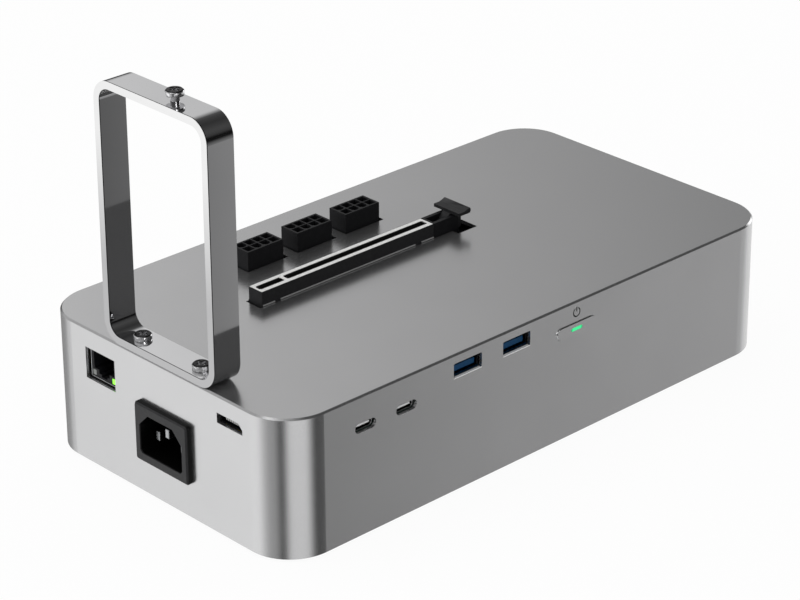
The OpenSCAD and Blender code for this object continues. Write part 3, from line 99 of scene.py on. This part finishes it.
floor_reach = 4
glow_share = 0.95
paper_colour = (0.9, 0.9, 0.9)
paper, tree, surface = new_finish("pale_paper")
surface.inputs["Base Color"].default_value = (*paper_colour, 1)
surface.inputs["Roughness"].default_value = 0.9
surface.inputs["Specular IOR Level"].default_value = 0.1
glow = add(tree, "ShaderNodeEmission", Strength=1.0)
clear = add(tree, "ShaderNodeBsdfTransparent")
ray = add(tree, "ShaderNodeLightPath")
face = add(tree, "ShaderNodeNewGeometry")
seen = reckon(tree, "MAXIMUM", ray.outputs["Is Camera Ray"], ray.outputs["Is Transmission Ray"])
lit = mixed(tree, reckon(tree, "MULTIPLY", seen, glow_share), surface.outputs[0], glow.outputs[0])
opened = reckon(tree, "MAXIMUM", ray.outputs["Is Glossy Ray"], face.outputs["Backfacing"])
tree.links.new(mixed(tree, opened, lit, clear.outputs[0]), tree.nodes["Material Output"].inputs["Surface"])
sheet = bmesh.new()
bmesh.ops.create_grid(sheet, x_segments=1, y_segments=1, size=floor_reach)
floor_mesh = bpy.data.meshes.new("studio_floor")
sheet.to_mesh(floor_mesh)
sheet.free()
floor = stand("studio_floor", floor_mesh)
floor.data.materials.append(paper)


# The air is plain white behind the object and soft grey as a light. What the
# metal mirrors is graded round the horizon: a bright left side, bright cards
# before the near corner and on the right, and dark flags between them.
def levels(tree, source, stops):
    band = add(tree, "ShaderNodeValToRGB")
    while len(band.color_ramp.elements) < len(stops):
        band.color_ramp.elements.new(0.5)
    for element, (place, level) in zip(band.color_ramp.elements, stops):
        element.position = place
        element.color = (*level, 1) if isinstance(level, tuple) else (level, level, level, 1)
    tree.links.new(source, band.inputs["Fac"])
    return band.outputs["Color"]


def span(tree, source, low, high):
    made = add(tree, "ShaderNodeMapRange")
    made.inputs["From Min"].default_value = low
    made.inputs["From Max"].default_value = high
    tree.links.new(source, made.inputs["Value"])
    return made.outputs["Result"]


def round_horizon(tree, source, stops):
    # The degrees run from the left, 180, round by the front to 540.
    return levels(tree, source, [((degrees - 180) / 360, level) for degrees, level in stops])


air = bpy.data.worlds.new("studio_air")
scene.world = air
air.use_nodes = True
tree = air.node_tree
tree.nodes.clear()
place = add(tree, "ShaderNodeTexCoord")
axes = add(tree, "ShaderNodeSeparateXYZ")
tree.links.new(place.outputs["Generated"], axes.inputs["Vector"])
heading = span(tree, reckon(tree, "ARCTAN2", axes.outputs["Y"], axes.outputs["X"]), -math.pi, math.pi)
height = span(tree, axes.outputs["Z"], -1, 1)
below = round_horizon(tree, heading, [
    (180, 0.5), (196, 0.45), (207, 0.05), (214, 0.05), (228, 1.0), (266, 1.0), (284, 0.05),
    (305, 0.05), (308, 0.17), (314, 0.52), (336, 0.62), (350, 1.0), (385, 1.0), (408, 0.3),
    (460, 0.4), (488, 1.25), (515, 1.25), (528, 0.8), (540, 0.5)])
above = round_horizon(tree, heading, [
    (180, 0.5), (225, 0.4), (270, 0.08), (340, 0.05), (375, 0.08), (390, 0.115), (406, 0.52),
    (420, 0.93), (440, 0.86), (480, 0.5), (540, 0.5)])
upper = levels(tree, height, [(0.45, 0.0), (0.55, 1.0)])
by_height = levels(tree, height, [
    (0.0, 0.7), (0.36, 1.0), (0.46, 0.1), (0.54, 0.1), (0.63, 0.75), (0.71, 1.0), (0.76, 1.05),
    (0.9, 0.7), (1.0, 0.6)])
grade = add(tree, "ShaderNodeMix", data_type="FLOAT")
tree.links.new(upper, grade.inputs["Factor"])
tree.links.new(below, grade.inputs["A"])
tree.links.new(above, grade.inputs["B"])
white = add(tree, "ShaderNodeBackground", Color=(1, 1, 1, 1), Strength=1.0)
soft = add(tree, "ShaderNodeBackground", Color=(1, 1, 1, 1), Strength=0.5)
mirrored = add(tree, "ShaderNodeBackground", Color=(1, 1, 1, 1))
tree.links.new(reckon(tree, "MULTIPLY", grade.outputs["Result"], by_height), mirrored.inputs["Strength"])
ray = add(tree, "ShaderNodeLightPath")
seen = reckon(tree, "MAXIMUM", ray.outputs["Is Camera Ray"], ray.outputs["Is Transmission Ray"])
unseen = mixed(tree, ray.outputs["Is Glossy Ray"], soft.outputs[0], mirrored.outputs[0])
output = add(tree, "ShaderNodeOutputWorld")
tree.links.new(mixed(tree, seen, unseen, white.outputs[0]), output.inputs["Surface"])


# Four soft lamps: a broad one behind the port end, one overhead, a narrow one
# for the near corner and one for the right end. The left lamp isn't mirrored,
# because it would burn a white patch into the housing's top.
def soft_lamp(name, place, aim, width, height, power, in_mirrors=True):
    light = bpy.data.lights.new(name, "AREA")
    light.shape = "RECTANGLE"
    light.size = width
    light.size_y = height
    light.energy = power
    lamp = stand(name, light, place)
    lamp.visible_glossy = in_mirrors
    look(lamp, Vector(aim) - Vector(place))


soft_lamp("left_lamp", place=(-1.3, 0.75, 0.45), aim=(0, 0, 0.03), width=1.3, height=0.8, power=9,
          in_mirrors=False)
soft_lamp("top_lamp", place=(-0.3, 0.25, 1.6), aim=(0, 0, 0), width=1.6, height=1.6, power=8)
soft_lamp("corner_lamp", place=(-0.6, -1.27, 0.32), aim=(-0.1, 0, 0.03), width=0.26, height=0.6, power=2)
soft_lamp("edge_lamp", place=(1.5, 0.1, 0.35), aim=(0.1, 0, 0.03), width=0.8, height=0.6, power=3)


# The housing is one shell of light metal, blasted to a fine even grey, and the
# bottom cover is the same metal, darker. The power symbol is printed over the
# button, and a bright highlight is painted along the cut edge under each wide port.
edge_angle = math.radians(32)


def dress(names, finish, bevel=0.0, segments=2):
    for name in names:
        piece = node[name]
        piece.data.materials.clear()
        piece.data.materials.append(finish)
        if bevel:
            weld = piece.modifiers.new("joined_faces", "WELD")
            weld.merge_threshold = 1e-6
            edge = piece.modifiers.new("broken_edges", "BEVEL")
            edge.width = bevel * mm
            edge.segments = segments
            edge.limit_method = "ANGLE"
            edge.angle_limit = edge_angle
            edge.harden_normals = True


def shade(colour, factor, lift=0.0):
    return tuple(c * factor + lift for c in colour)


def vary(tree, surface, socket, source, low, high):
    stops = [(0.3, low), (0.7, high)]
    tree.links.new(levels(tree, source, stops), surface.inputs[socket])


def grain(tree, size, detail=3.0, stretch=(1, 1, 1)):
    place = add(tree, "ShaderNodeTexCoord")
    scaled = add(tree, "ShaderNodeMapping")
    scaled.inputs["Scale"].default_value = stretch
    noise = add(tree, "ShaderNodeTexNoise", Scale=1 / (size * mm), Detail=detail)
    tree.links.new(place.outputs["Object"], scaled.inputs["Vector"])
    tree.links.new(scaled.outputs["Vector"], noise.inputs["Vector"])
    return noise.outputs["Fac"]


def relief(tree, surface, height, depth):
    bump = add(tree, "ShaderNodeBump", Strength=1.0, Distance=depth * mm)
    tree.links.new(height, bump.inputs["Height"])
    tree.links.new(bump.outputs["Normal"], surface.inputs["Normal"])


def along(tree, axis):
    place = add(tree, "ShaderNodeTexCoord")
    axes = add(tree, "ShaderNodeSeparateXYZ")
    tree.links.new(place.outputs["Object"], axes.inputs["Vector"])
    return axes.outputs[axis]


def between(tree, axis, low, high, soft=0.05):
    place = along(tree, axis)
    past_low = span(tree, place, (low - soft) * mm, (low + soft) * mm)
    past_high = span(tree, place, (high - soft) * mm, (high + soft) * mm)
    return reckon(tree, "SUBTRACT", past_low, past_high)


def runs(tree, axis, start, ends):
    total = 0.0
    for low, high in ends:
        total = reckon(tree, "ADD", between(tree, axis, start + low, start + high), total)
    return total


def near(tree, value, centre, reach):
    away = reckon(tree, "ABSOLUTE", reckon(tree, "SUBTRACT", value, centre))
    return reckon(tree, "LESS_THAN", away, reach)


def lessened(tree, full, mask, drop):
    return reckon(tree, "SUBTRACT", full, reckon(tree, "MULTIPLY", mask, drop))


def paint(tree, surface, mask, colour):
    under = surface.inputs["Base Color"].links[0].from_socket
    made = add(tree, "ShaderNodeMix", data_type="RGBA")
    tree.links.new(mask, made.inputs["Factor"])
    tree.links.new(under, made.inputs[6])
    made.inputs[7].default_value = (*colour, 1)
    tree.links.new(made.outputs[2], surface.inputs["Base Color"])


blast_metallic = 0.94
blast_roughness = 0.24


def blasted_metal(name, colour):
    uneven = 0.02
    speckle = 0.03
    finish, tree, surface = new_finish(name)
    surface.inputs["Metallic"].default_value = blast_metallic
    vary(tree, surface, "Base Color", grain(tree, size=0.5),
         shade(colour, 1 - speckle), shade(colour, 1 + speckle))
    vary(tree, surface, "Roughness", grain(tree, size=30, detail=4),
         blast_roughness - uneven, blast_roughness + uneven)
    relief(tree, surface, grain(tree, size=0.2, detail=2), depth=0.0008)
    return finish, tree, surface


overrun = 1.0
housing_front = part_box("housing_shell")[0][1] / mm
housing_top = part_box("housing_shell")[1][2] / mm
shell_metal, tree, surface = blasted_metal("blasted_shell_metal", (0.585, 0.585, 0.59))

button_low, button_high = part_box("power_button")
symbol_shift = 0.3
symbol_rise = 3.15
symbol_x = (button_low[0] + button_high[0]) / 2 / mm + symbol_shift
symbol_z = button_high[2] / mm + symbol_rise
ring_radius = 1.75
ring_half_width = 0.26
gap_half_width = 0.8
stroke_half_width = 0.28
stroke_foot = 0.3
stroke_top = 2.2
print_depth = 0.1
across = reckon(tree, "SUBTRACT", along(tree, "X"), symbol_x * mm)
upward = reckon(tree, "SUBTRACT", along(tree, "Z"), symbol_z * mm)
squares = reckon(tree, "ADD", reckon(tree, "MULTIPLY", across, across),
                 reckon(tree, "MULTIPLY", upward, upward))
ring = near(tree, reckon(tree, "SQRT", squares), ring_radius * mm, ring_half_width * mm)
gap = near(tree, across, 0.0, gap_half_width * mm)
gap = reckon(tree, "MULTIPLY", gap, reckon(tree, "GREATER_THAN", upward, 0.0))
arc = reckon(tree, "MULTIPLY", ring, reckon(tree, "SUBTRACT", 1.0, gap))
stroke = reckon(tree, "MULTIPLY",
                between(tree, "X", symbol_x - stroke_half_width, symbol_x + stroke_half_width),
                between(tree, "Z", symbol_z + stroke_foot, symbol_z + stroke_top))
outer_skin = between(tree, "Y", housing_front - overrun, housing_front + print_depth)
symbol = reckon(tree, "MULTIPLY", reckon(tree, "MAXIMUM", arc, stroke), outer_skin)
ink = (0.02, 0.02, 0.02)
paint(tree, surface, symbol, ink)

wide_port_shells = ["wide_port_shell_1", "wide_port_shell_2"]
wide_port_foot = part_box("wide_port_shell_1")[0][2] / mm
sill_inset = 1.0
sill_drop = 0.4
sill_gap = 0.05
sill_depth = 1.2
sill_soft = 0.02
sill_runs = [(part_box(name)[0][0] / mm + sill_inset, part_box(name)[1][0] / mm - sill_inset)
             for name in wide_port_shells]
# A white highlight is painted along the bottom edge of each wide port's cut, with the metal taken off there.
painted_sill_highlight = reckon(tree, "MULTIPLY", runs(tree, "X", 0, sill_runs),
              between(tree, "Z", wide_port_foot - sill_drop, wide_port_foot - sill_gap, sill_soft))
painted_sill_highlight = reckon(tree, "MULTIPLY", painted_sill_highlight,
              between(tree, "Y", housing_front - overrun, housing_front + sill_depth))
painted_highlight_white = (0.85, 0.85, 0.85)
paint(tree, surface, painted_sill_highlight, painted_highlight_white)
tree.links.new(lessened(tree, blast_metallic, painted_sill_highlight, blast_metallic), surface.inputs["Metallic"])
dress(["housing_shell"], shell_metal)
dress(["bottom_cover"], blasted_metal("blasted_cover_metal", (0.26, 0.26, 0.265))[0])


# Four round feet of moulded black rubber are glued in shallow seats in the
# bottom cover. They have a soft edge and a faint bloom on the skin.
def rubber(name, colour, roughness):
    uneven = 0.08
    finish, tree, surface = new_finish(name)
    surface.inputs["Specular IOR Level"].default_value = 0.35
    vary(tree, surface, "Base Color", grain(tree, size=4, detail=5), colour, shade(colour, 1.5, lift=0.004))
    vary(tree, surface, "Roughness", grain(tree, size=1.5), roughness - uneven, roughness + uneven)
    relief(tree, surface, grain(tree, size=0.2, detail=2), depth=0.01)
    return finish


dress(["rubber_feet"], rubber("foot_rubber", (0.02, 0.02, 0.021), roughness=0.75), bevel=0.35, segments=3)


# The screws are turned steel, plated bright on the bracket and the boards and
# blackened in the cover and the fan. Turning marks run round every head, and a
# dark reflection is painted on top of the bracket's heads and the clamp screw's.
def turned_metal(name, colour, roughness):
    smoother = 0.06
    rougher = 0.08
    finish, tree, surface = new_finish(name)
    surface.inputs["Metallic"].default_value = 1
    vary(tree, surface, "Base Color", grain(tree, size=0.35), shade(colour, 0.9), colour)
    vary(tree, surface, "Roughness", grain(tree, size=1.2, detail=3, stretch=(1, 1, 6)),
         roughness - smoother, roughness + rougher)
    relief(tree, surface, grain(tree, size=0.3, detail=2, stretch=(1, 1, 5)), depth=0.004)
    return finish, tree, surface


painted_dark_reflection_depth = 0.32
painted_dark_reflection = (0.012, 0.012, 0.013)
for name in ("bracket_screws", "card_screw"):
    head_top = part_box(name)[1][2] / mm
    head_steel, tree, surface = turned_metal(name + "_steel", (0.8, 0.8, 0.81), roughness=0.16)
    # A dark reflection is painted on the top of each head.
    paint(tree, surface, between(tree, "Z", head_top - painted_dark_reflection_depth, head_top + overrun), painted_dark_reflection)
    dress([name], head_steel, bevel=0.12)
plated_steel = turned_metal("plated_screw_steel", (0.78, 0.78, 0.79), roughness=0.2)[0]
dress(["board_screws", "supply_screws", "port_board_screws"], plated_steel)
black_steel = turned_metal("blackened_screw_steel", (0.05, 0.05, 0.053), roughness=0.35)[0]
dress(["cover_screws", "fan_screws"], black_steel)


# The bracket is one loop bent from polished steel bar, held to the housing's
# top by two screws. Shade is painted on the bar's edges, left and right, with
# painted light towards the top, and a painted shade line runs round beside the left one.
def facing(tree, axis):
    face = add(tree, "ShaderNodeNewGeometry")
    axes = add(tree, "ShaderNodeSeparateXYZ")
    tree.links.new(face.outputs["Normal"], axes.inputs["Vector"])
    return axes.outputs[axis]


bar_roughness = 0.04
bar_rougher = 0.03
bar_colour = (0.78, 0.78, 0.79)
painted_shade_line_colour = (0.03, 0.03, 0.031)
painted_edge_shade = (0.42, 0.42, 0.425)
painted_edge_light = (0.72, 0.72, 0.72)
bar_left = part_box("bracket_loop")[0][0] / mm
bar_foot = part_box("bracket_loop")[0][2] / mm
bar_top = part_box("bracket_loop")[1][2] / mm
painted_shade_line_width = 0.4
fade_middle = 57.5
fade_reach = 25
sideways = 0.9
bar_steel, tree, surface = new_finish("polished_bar_steel")
surface.inputs["Metallic"].default_value = 1
vary(tree, surface, "Base Color", grain(tree, size=25, detail=2), shade(bar_colour, 0.97), bar_colour)
vary(tree, surface, "Roughness", grain(tree, size=12, detail=4), bar_roughness, bar_roughness + bar_rougher)
# Painted shade: a dark line beside the left edge and darker side faces, with painted light on them towards
# the top.
bar_edge = reckon(tree, "GREATER_THAN", reckon(tree, "ABSOLUTE", facing(tree, "X")), sideways)
painted_light_fade = between(tree, "Z", bar_foot + fade_middle, bar_top + 2 * fade_reach, fade_reach)
paint(tree, surface, between(tree, "X", bar_left - overrun, bar_left + painted_shade_line_width), painted_shade_line_colour)
paint(tree, surface, bar_edge, painted_edge_shade)
paint(tree, surface, reckon(tree, "MULTIPLY", bar_edge, painted_light_fade), painted_edge_light)
dress(["bracket_loop"], bar_steel)


# The card slot is a black moulding with a pale liner, gilt contacts and, at
# its right end, a case that holds the swinging latch. A highlight is painted on
# the ledge at its foot, and shade is painted black into the liner's groove.
def moulding(name, colour, roughness=0.42):
    uneven = 0.07
    finish, tree, surface = new_finish(name)
    surface.inputs["Specular IOR Level"].default_value = 0.2
    vary(tree, surface, "Base Color", grain(tree, size=1.2, detail=4),
         colour, shade(colour, 1.25, lift=0.002))
    vary(tree, surface, "Roughness", grain(tree, size=0.6, detail=3), roughness - uneven, roughness + uneven)
    relief(tree, surface, grain(tree, size=0.25, detail=2), depth=0.006)
    return finish, tree, surface


slot_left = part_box("slot_body")[0][0] / mm
groove_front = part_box("slot_contacts")[0][1] / mm
groove_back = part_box("slot_contacts")[1][1] / mm
ledge_foot = 0.1
ledge_head = 0.65
painted_ledge_highlight_runs = [(0.3, 6.2), (9.0, 78.9), (82.3, 88.8)]
painted_groove_shade_runs = [(1.7, 13.2), (15.3, 87.4)]
painted_highlight_grey = (0.26, 0.26, 0.26)
painted_groove_shade_black = (0.006, 0.006, 0.006)
slot_plastic, tree, surface = moulding("slot_moulding", (0.016, 0.016, 0.017))
# A highlight is painted in grey on the ledge at the slot's foot.
painted_ledge_highlight = reckon(tree, "MULTIPLY", runs(tree, "X", slot_left, painted_ledge_highlight_runs),
               between(tree, "Z", housing_top + ledge_foot, housing_top + ledge_head))
paint(tree, surface, painted_ledge_highlight, painted_highlight_grey)
dress(["slot_body"], slot_plastic, bevel=0.12)
liner_plastic, tree, surface = moulding("white_liner_moulding", (0.66, 0.66, 0.65), roughness=0.4)
# Shade is painted black into the liner's groove.
painted_groove_shade = reckon(tree, "MULTIPLY", runs(tree, "X", slot_left, painted_groove_shade_runs),
                 between(tree, "Y", groove_front, groove_back))
paint(tree, surface, painted_groove_shade, painted_groove_shade_black)
dress(["slot_liner"], liner_plastic)
contact_gold = turned_metal("contact_gold", (0.83, 0.62, 0.27), roughness=0.25)[0]
dress(["slot_contacts"], contact_gold)
dress(["latch_housing"], moulding("latch_case_moulding", (0.006, 0.006, 0.007))[0], bevel=0.12)
dress(["card_latch"], moulding("latch_moulding", (0.014, 0.014, 0.015), roughness=0.38)[0], bevel=0.2)


# Three supply headers stand in a row behind the slot. They are black mouldings
# round tinned square pins, which are soldered to the main board.
header_plastic = moulding("header_moulding", (0.008, 0.008, 0.009))[0]
tinned_metal = turned_metal("tinned_pin_metal", (0.72, 0.68, 0.58), roughness=0.3)[0]
dress(["supply_header_1", "supply_header_2", "supply_header_3"], header_plastic, bevel=0.15)
dress(["header_pins"], tinned_metal, bevel=0.15)


# The mains inlet is a black moulding snapped into the left end, with three
# nickelled blades. Behind its rim, shade is painted deep black into the socket.
inlet_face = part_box("mains_inlet")[0][0] / mm
inlet_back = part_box("mains_inlet")[1][0] / mm
inlet_rim = 0.6
painted_socket_shade = (0.0015, 0.0015, 0.0015)
inlet_plastic, tree, surface = moulding("inlet_moulding", (0.022, 0.022, 0.023), roughness=0.36)
# Shade is painted deep black into the socket behind its rim.
paint(tree, surface, between(tree, "X", inlet_face + inlet_rim, inlet_back + overrun), painted_socket_shade)
dress(["mains_inlet"], inlet_plastic, bevel=0.1)
blade_metal = turned_metal("nickel_blade_metal", (0.42, 0.43, 0.44), roughness=0.22)[0]
dress(["inlet_blades"], blade_metal, bevel=0.4)


# The network jack is a black moulded insert in a folded steel shield, with
# gilt spring contacts and two lenses at its foot. Only the lens nearer the
# front is lit, in green.
def sheet_metal(name, colour, roughness):
    smoother = 0.05
    rougher = 0.1
    mill_lines = (1, 1, 9)
    finish, tree, surface = new_finish(name)
    surface.inputs["Metallic"].default_value = 1
    vary(tree, surface, "Base Color", grain(tree, size=1.5, detail=4, stretch=mill_lines),
         shade(colour, 0.88), colour)
    vary(tree, surface, "Roughness", grain(tree, size=0.8, detail=3, stretch=mill_lines),
         roughness - smoother, roughness + rougher)
    return finish, tree, surface


def lens_glow(name, colour):
    finish, tree, surface = new_finish(name)
    vary(tree, surface, "Base Color", grain(tree, size=2.5, detail=2), shade(colour, 0.9), colour)
    surface.inputs["Roughness"].default_value = 0.25
    surface.inputs["Emission Color"].default_value = (*colour, 1)
    return finish, tree, surface


dress(["network_jack_shield"], sheet_metal("jack_shield_steel", (0.85, 0.86, 0.87), roughness=0.2)[0])
dress(["network_jack_insert"], moulding("jack_moulding", (0.006, 0.006, 0.007))[0])
dress(["network_jack_contacts"], contact_gold)
jack_glow = 0.9
unlit_lens = (0.2, 0.21, 0.2)
lenses_low, lenses_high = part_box("network_jack_lamps")
lenses_middle = (lenses_low[1] + lenses_high[1]) / 2 / mm
jack_lens, tree, surface = lens_glow("green_jack_lens", (0.26, 1.0, 0.05))
unlit = between(tree, "Y", lenses_middle, lenses_high[1] / mm + overrun)
paint(tree, surface, unlit, unlit_lens)
tree.links.new(lessened(tree, jack_glow, unlit, jack_glow), surface.inputs["Emission Strength"])
dress(["network_jack_lamps"], jack_lens)


# The link port is a dark folded shell round a black tongue, and the tongue
# carries a row of plated contact pads along its middle.
pad_pitch = 1.0
pad_share = 0.45
pad_foot = 0.8
pad_head = 1.8
pad_colour = (0.7, 0.7, 0.7)
tongue_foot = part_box("link_port_tongue")[0][2] / mm
tongue_plastic, tree, surface = moulding("link_tongue_moulding", (0.006, 0.006, 0.007))
step = reckon(tree, "FRACT", reckon(tree, "DIVIDE", along(tree, "Y"), pad_pitch * mm))
pads = reckon(tree, "MULTIPLY", reckon(tree, "LESS_THAN", step, pad_share),
              between(tree, "Z", tongue_foot + pad_foot, tongue_foot + pad_head))
paint(tree, surface, pads, pad_colour)
dress(["link_port_tongue"], tongue_plastic)
dress(["link_port_shell"], sheet_metal("link_shell_steel", (0.03, 0.03, 0.032), roughness=0.4)[0])


# The two wide ports are folded steel shells, sunk in notches of the main board
# behind the front wall, with shade painted near black over their steel. Each has
# a moulded blue tongue, and a reflection of its blue is painted on the shell's floor.
blue_reach = 0.6
painted_blue_reflection = (0.01, 0.07, 0.16)
# Shade is painted near black over the shells' steel, and a blue reflection of the tongue on their floor.
wide_shaded_steel, tree, surface = sheet_metal("wide_shell_shaded_steel", (0.02, 0.02, 0.022), roughness=0.25)
paint(tree, surface, between(tree, "Z", wide_port_foot, wide_port_foot + blue_reach), painted_blue_reflection)
dress(wide_port_shells, wide_shaded_steel)
blue_plastic = moulding("blue_tongue_moulding", (0.004, 0.05, 0.13))[0]
dress(["wide_port_tongue_1", "wide_port_tongue_2"], blue_plastic)


# The two slim ports are drawn steel shells with pale tongues, soldered to a
# small board of their own. Shade is painted dark inside each shell, behind its bright rim.
slim_rim = 0.1
painted_inner_shade = (0.02, 0.02, 0.022)
slim_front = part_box("slim_port_shell_1")[0][1] / mm
slim_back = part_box("slim_port_shell_1")[1][1] / mm
slim_steel, tree, surface = sheet_metal("slim_shell_steel", (0.85, 0.85, 0.86), roughness=0.2)
# Shade is painted dark inside the shell behind its rim.
paint(tree, surface, between(tree, "Y", slim_front + slim_rim, slim_back + overrun), painted_inner_shade)
dress(["slim_port_shell_1", "slim_port_shell_2"], slim_steel)
pale_plastic = moulding("grey_tongue_moulding", (0.8, 0.8, 0.8))[0]
dress(["slim_port_tongue_1", "slim_port_tongue_2"], pale_plastic)


# The power button is a cap of the housing's metal with a polished cut edge, on
# which a white highlight is painted where it doesn't face up, and a green light
# bar lies in its face. Its stem pushes the plunger of a small switch, which sits on an upright board behind
# it.
straight_out = -0.96
downward = 0.1
polish = 0.14
polished_edge_and_highlight = (0.9, 0.9, 0.9)
button_metal, tree, surface = blasted_metal("blasted_button_metal", (0.595, 0.595, 0.6))
cut_edge = reckon(tree, "GREATER_THAN", facing(tree, "Y"), straight_out)
paint(tree, surface, cut_edge, polished_edge_and_highlight)
tree.links.new(lessened(tree, blast_roughness, cut_edge, polish), surface.inputs["Roughness"])
# A white highlight is painted on the cut edge wherever it doesn't face up, with the metal taken off there.
painted_edge_highlight = reckon(tree, "MULTIPLY", cut_edge, reckon(tree, "LESS_THAN", facing(tree, "Z"), downward))
tree.links.new(lessened(tree, blast_metallic, painted_edge_highlight, blast_metallic), surface.inputs["Metallic"])
dress(["power_button"], button_metal, bevel=0.4, segments=3)
bar_glow = 0.8
dim_end = 0.6
dim_fade = 0.3
light_low, light_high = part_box("button_lamp")
bar_lens, tree, surface = lens_glow("green_bar_lens", (0.03, 0.62, 0.22))
lit_bar = between(tree, "X", light_low[0] / mm + dim_end, light_high[0] / mm - dim_end, dim_fade)
tree.links.new(reckon(tree, "MULTIPLY", lit_bar, bar_glow), surface.inputs["Emission Strength"])
dress(["button_lamp"], bar_lens, bevel=0.1)
switch_plastic = moulding("switch_moulding", (0.02, 0.02, 0.021))[0]
dress(["switch_case", "switch_plunger"], switch_plastic, bevel=0.1)


# The boards are glass cloth with a faint pattern of tracks under the lacquer:
# black for the main board, green behind the front, tan for the supply. They
# stand on posts and brass pillars, with black chips under the main one.
def circuit_board(name, colour, track):
    tracks_in_a_metre = 260.0
    finish, tree, surface = new_finish(name)
    place = add(tree, "ShaderNodeTexCoord")
    tracks = add(tree, "ShaderNodeTexBrick", Scale=tracks_in_a_metre)
    tracks.inputs["Color1"].default_value = (*colour, 1)
    tracks.inputs["Color2"].default_value = (*shade(colour, 0.85), 1)
    tracks.inputs["Mortar"].default_value = (*track, 1)
    tracks.inputs["Mortar Size"].default_value = 0.02
    tree.links.new(place.outputs["Object"], tracks.inputs["Vector"])
    tree.links.new(tracks.outputs["Color"], surface.inputs["Base Color"])
    vary(tree, surface, "Roughness", grain(tree, size=3), 0.28, 0.4)
    relief(tree, surface, tracks.outputs["Fac"], depth=0.02)
    return finish


dress(["main_board"], circuit_board("black_board", (0.006, 0.006, 0.007), (0.012, 0.012, 0.013)))
dress(["port_board", "button_board"], circuit_board("green_board", (0.012, 0.06, 0.035), (0.03, 0.13, 0.07)))
dress(["supply_board"], circuit_board("tan_board", (0.25, 0.15, 0.06), (0.4, 0.27, 0.12)))
dress(["port_board_link"], switch_plastic, bevel=0.1)
dress(["board_chips"], moulding("chip_moulding", (0.014, 0.014, 0.015), roughness=0.5)[0], bevel=0.1)
sink_metal = sheet_metal("extruded_sink_metal", (0.55, 0.56, 0.57), roughness=0.4)[0]
dress(["chip_heatsink"], sink_metal, bevel=0.1)
pillar_brass = turned_metal("pillar_brass", (0.75, 0.55, 0.24), roughness=0.3)[0]
dress(["port_board_pillars", "supply_pillars"], pillar_brass)


# The fan is a black moulded frame with a rotor on its shaft, screwed to the
# bottom cover over the grille.
dress(["fan_frame"], moulding("fan_frame_moulding", (0.012, 0.012, 0.013), roughness=0.5)[0], bevel=0.3)
dress(["fan_rotor"], moulding("fan_rotor_moulding", (0.016, 0.016, 0.017), roughness=0.45)[0], bevel=0.2)


# The supply's parts stand on its board: sleeved capacitors, a transformer, an
# input filter, a copper choke, and transistors on extruded sinks. Covered leads
# join the inlet to it, and it and the fan to the main board.
dress(["supply_heatsinks"], sink_metal, bevel=0.1)
dress(["supply_capacitors"], moulding("capacitor_sleeve", (0.012, 0.02, 0.06), roughness=0.25)[0])
dress(["supply_transformer"], moulding("transformer_tape", (0.45, 0.3, 0.03), roughness=0.4)[0], bevel=0.4)
dress(["supply_transistors"], moulding("transistor_moulding", (0.012, 0.012, 0.013))[0], bevel=0.2)
dress(["supply_filter"], moulding("filter_case_moulding", (0.5, 0.35, 0.03), roughness=0.35)[0], bevel=0.4)
dress(["supply_choke"], turned_metal("choke_copper", (0.6, 0.24, 0.08), roughness=0.3)[0])
dress(["supply_leads"], rubber("output_lead_cover", (0.55, 0.4, 0.03), roughness=0.5))
dress(["inlet_leads"], rubber("inlet_lead_cover", (0.12, 0.05, 0.02), roughness=0.5))
dress(["fan_leads"], rubber("fan_lead_cover", (0.25, 0.02, 0.015), roughness=0.5))
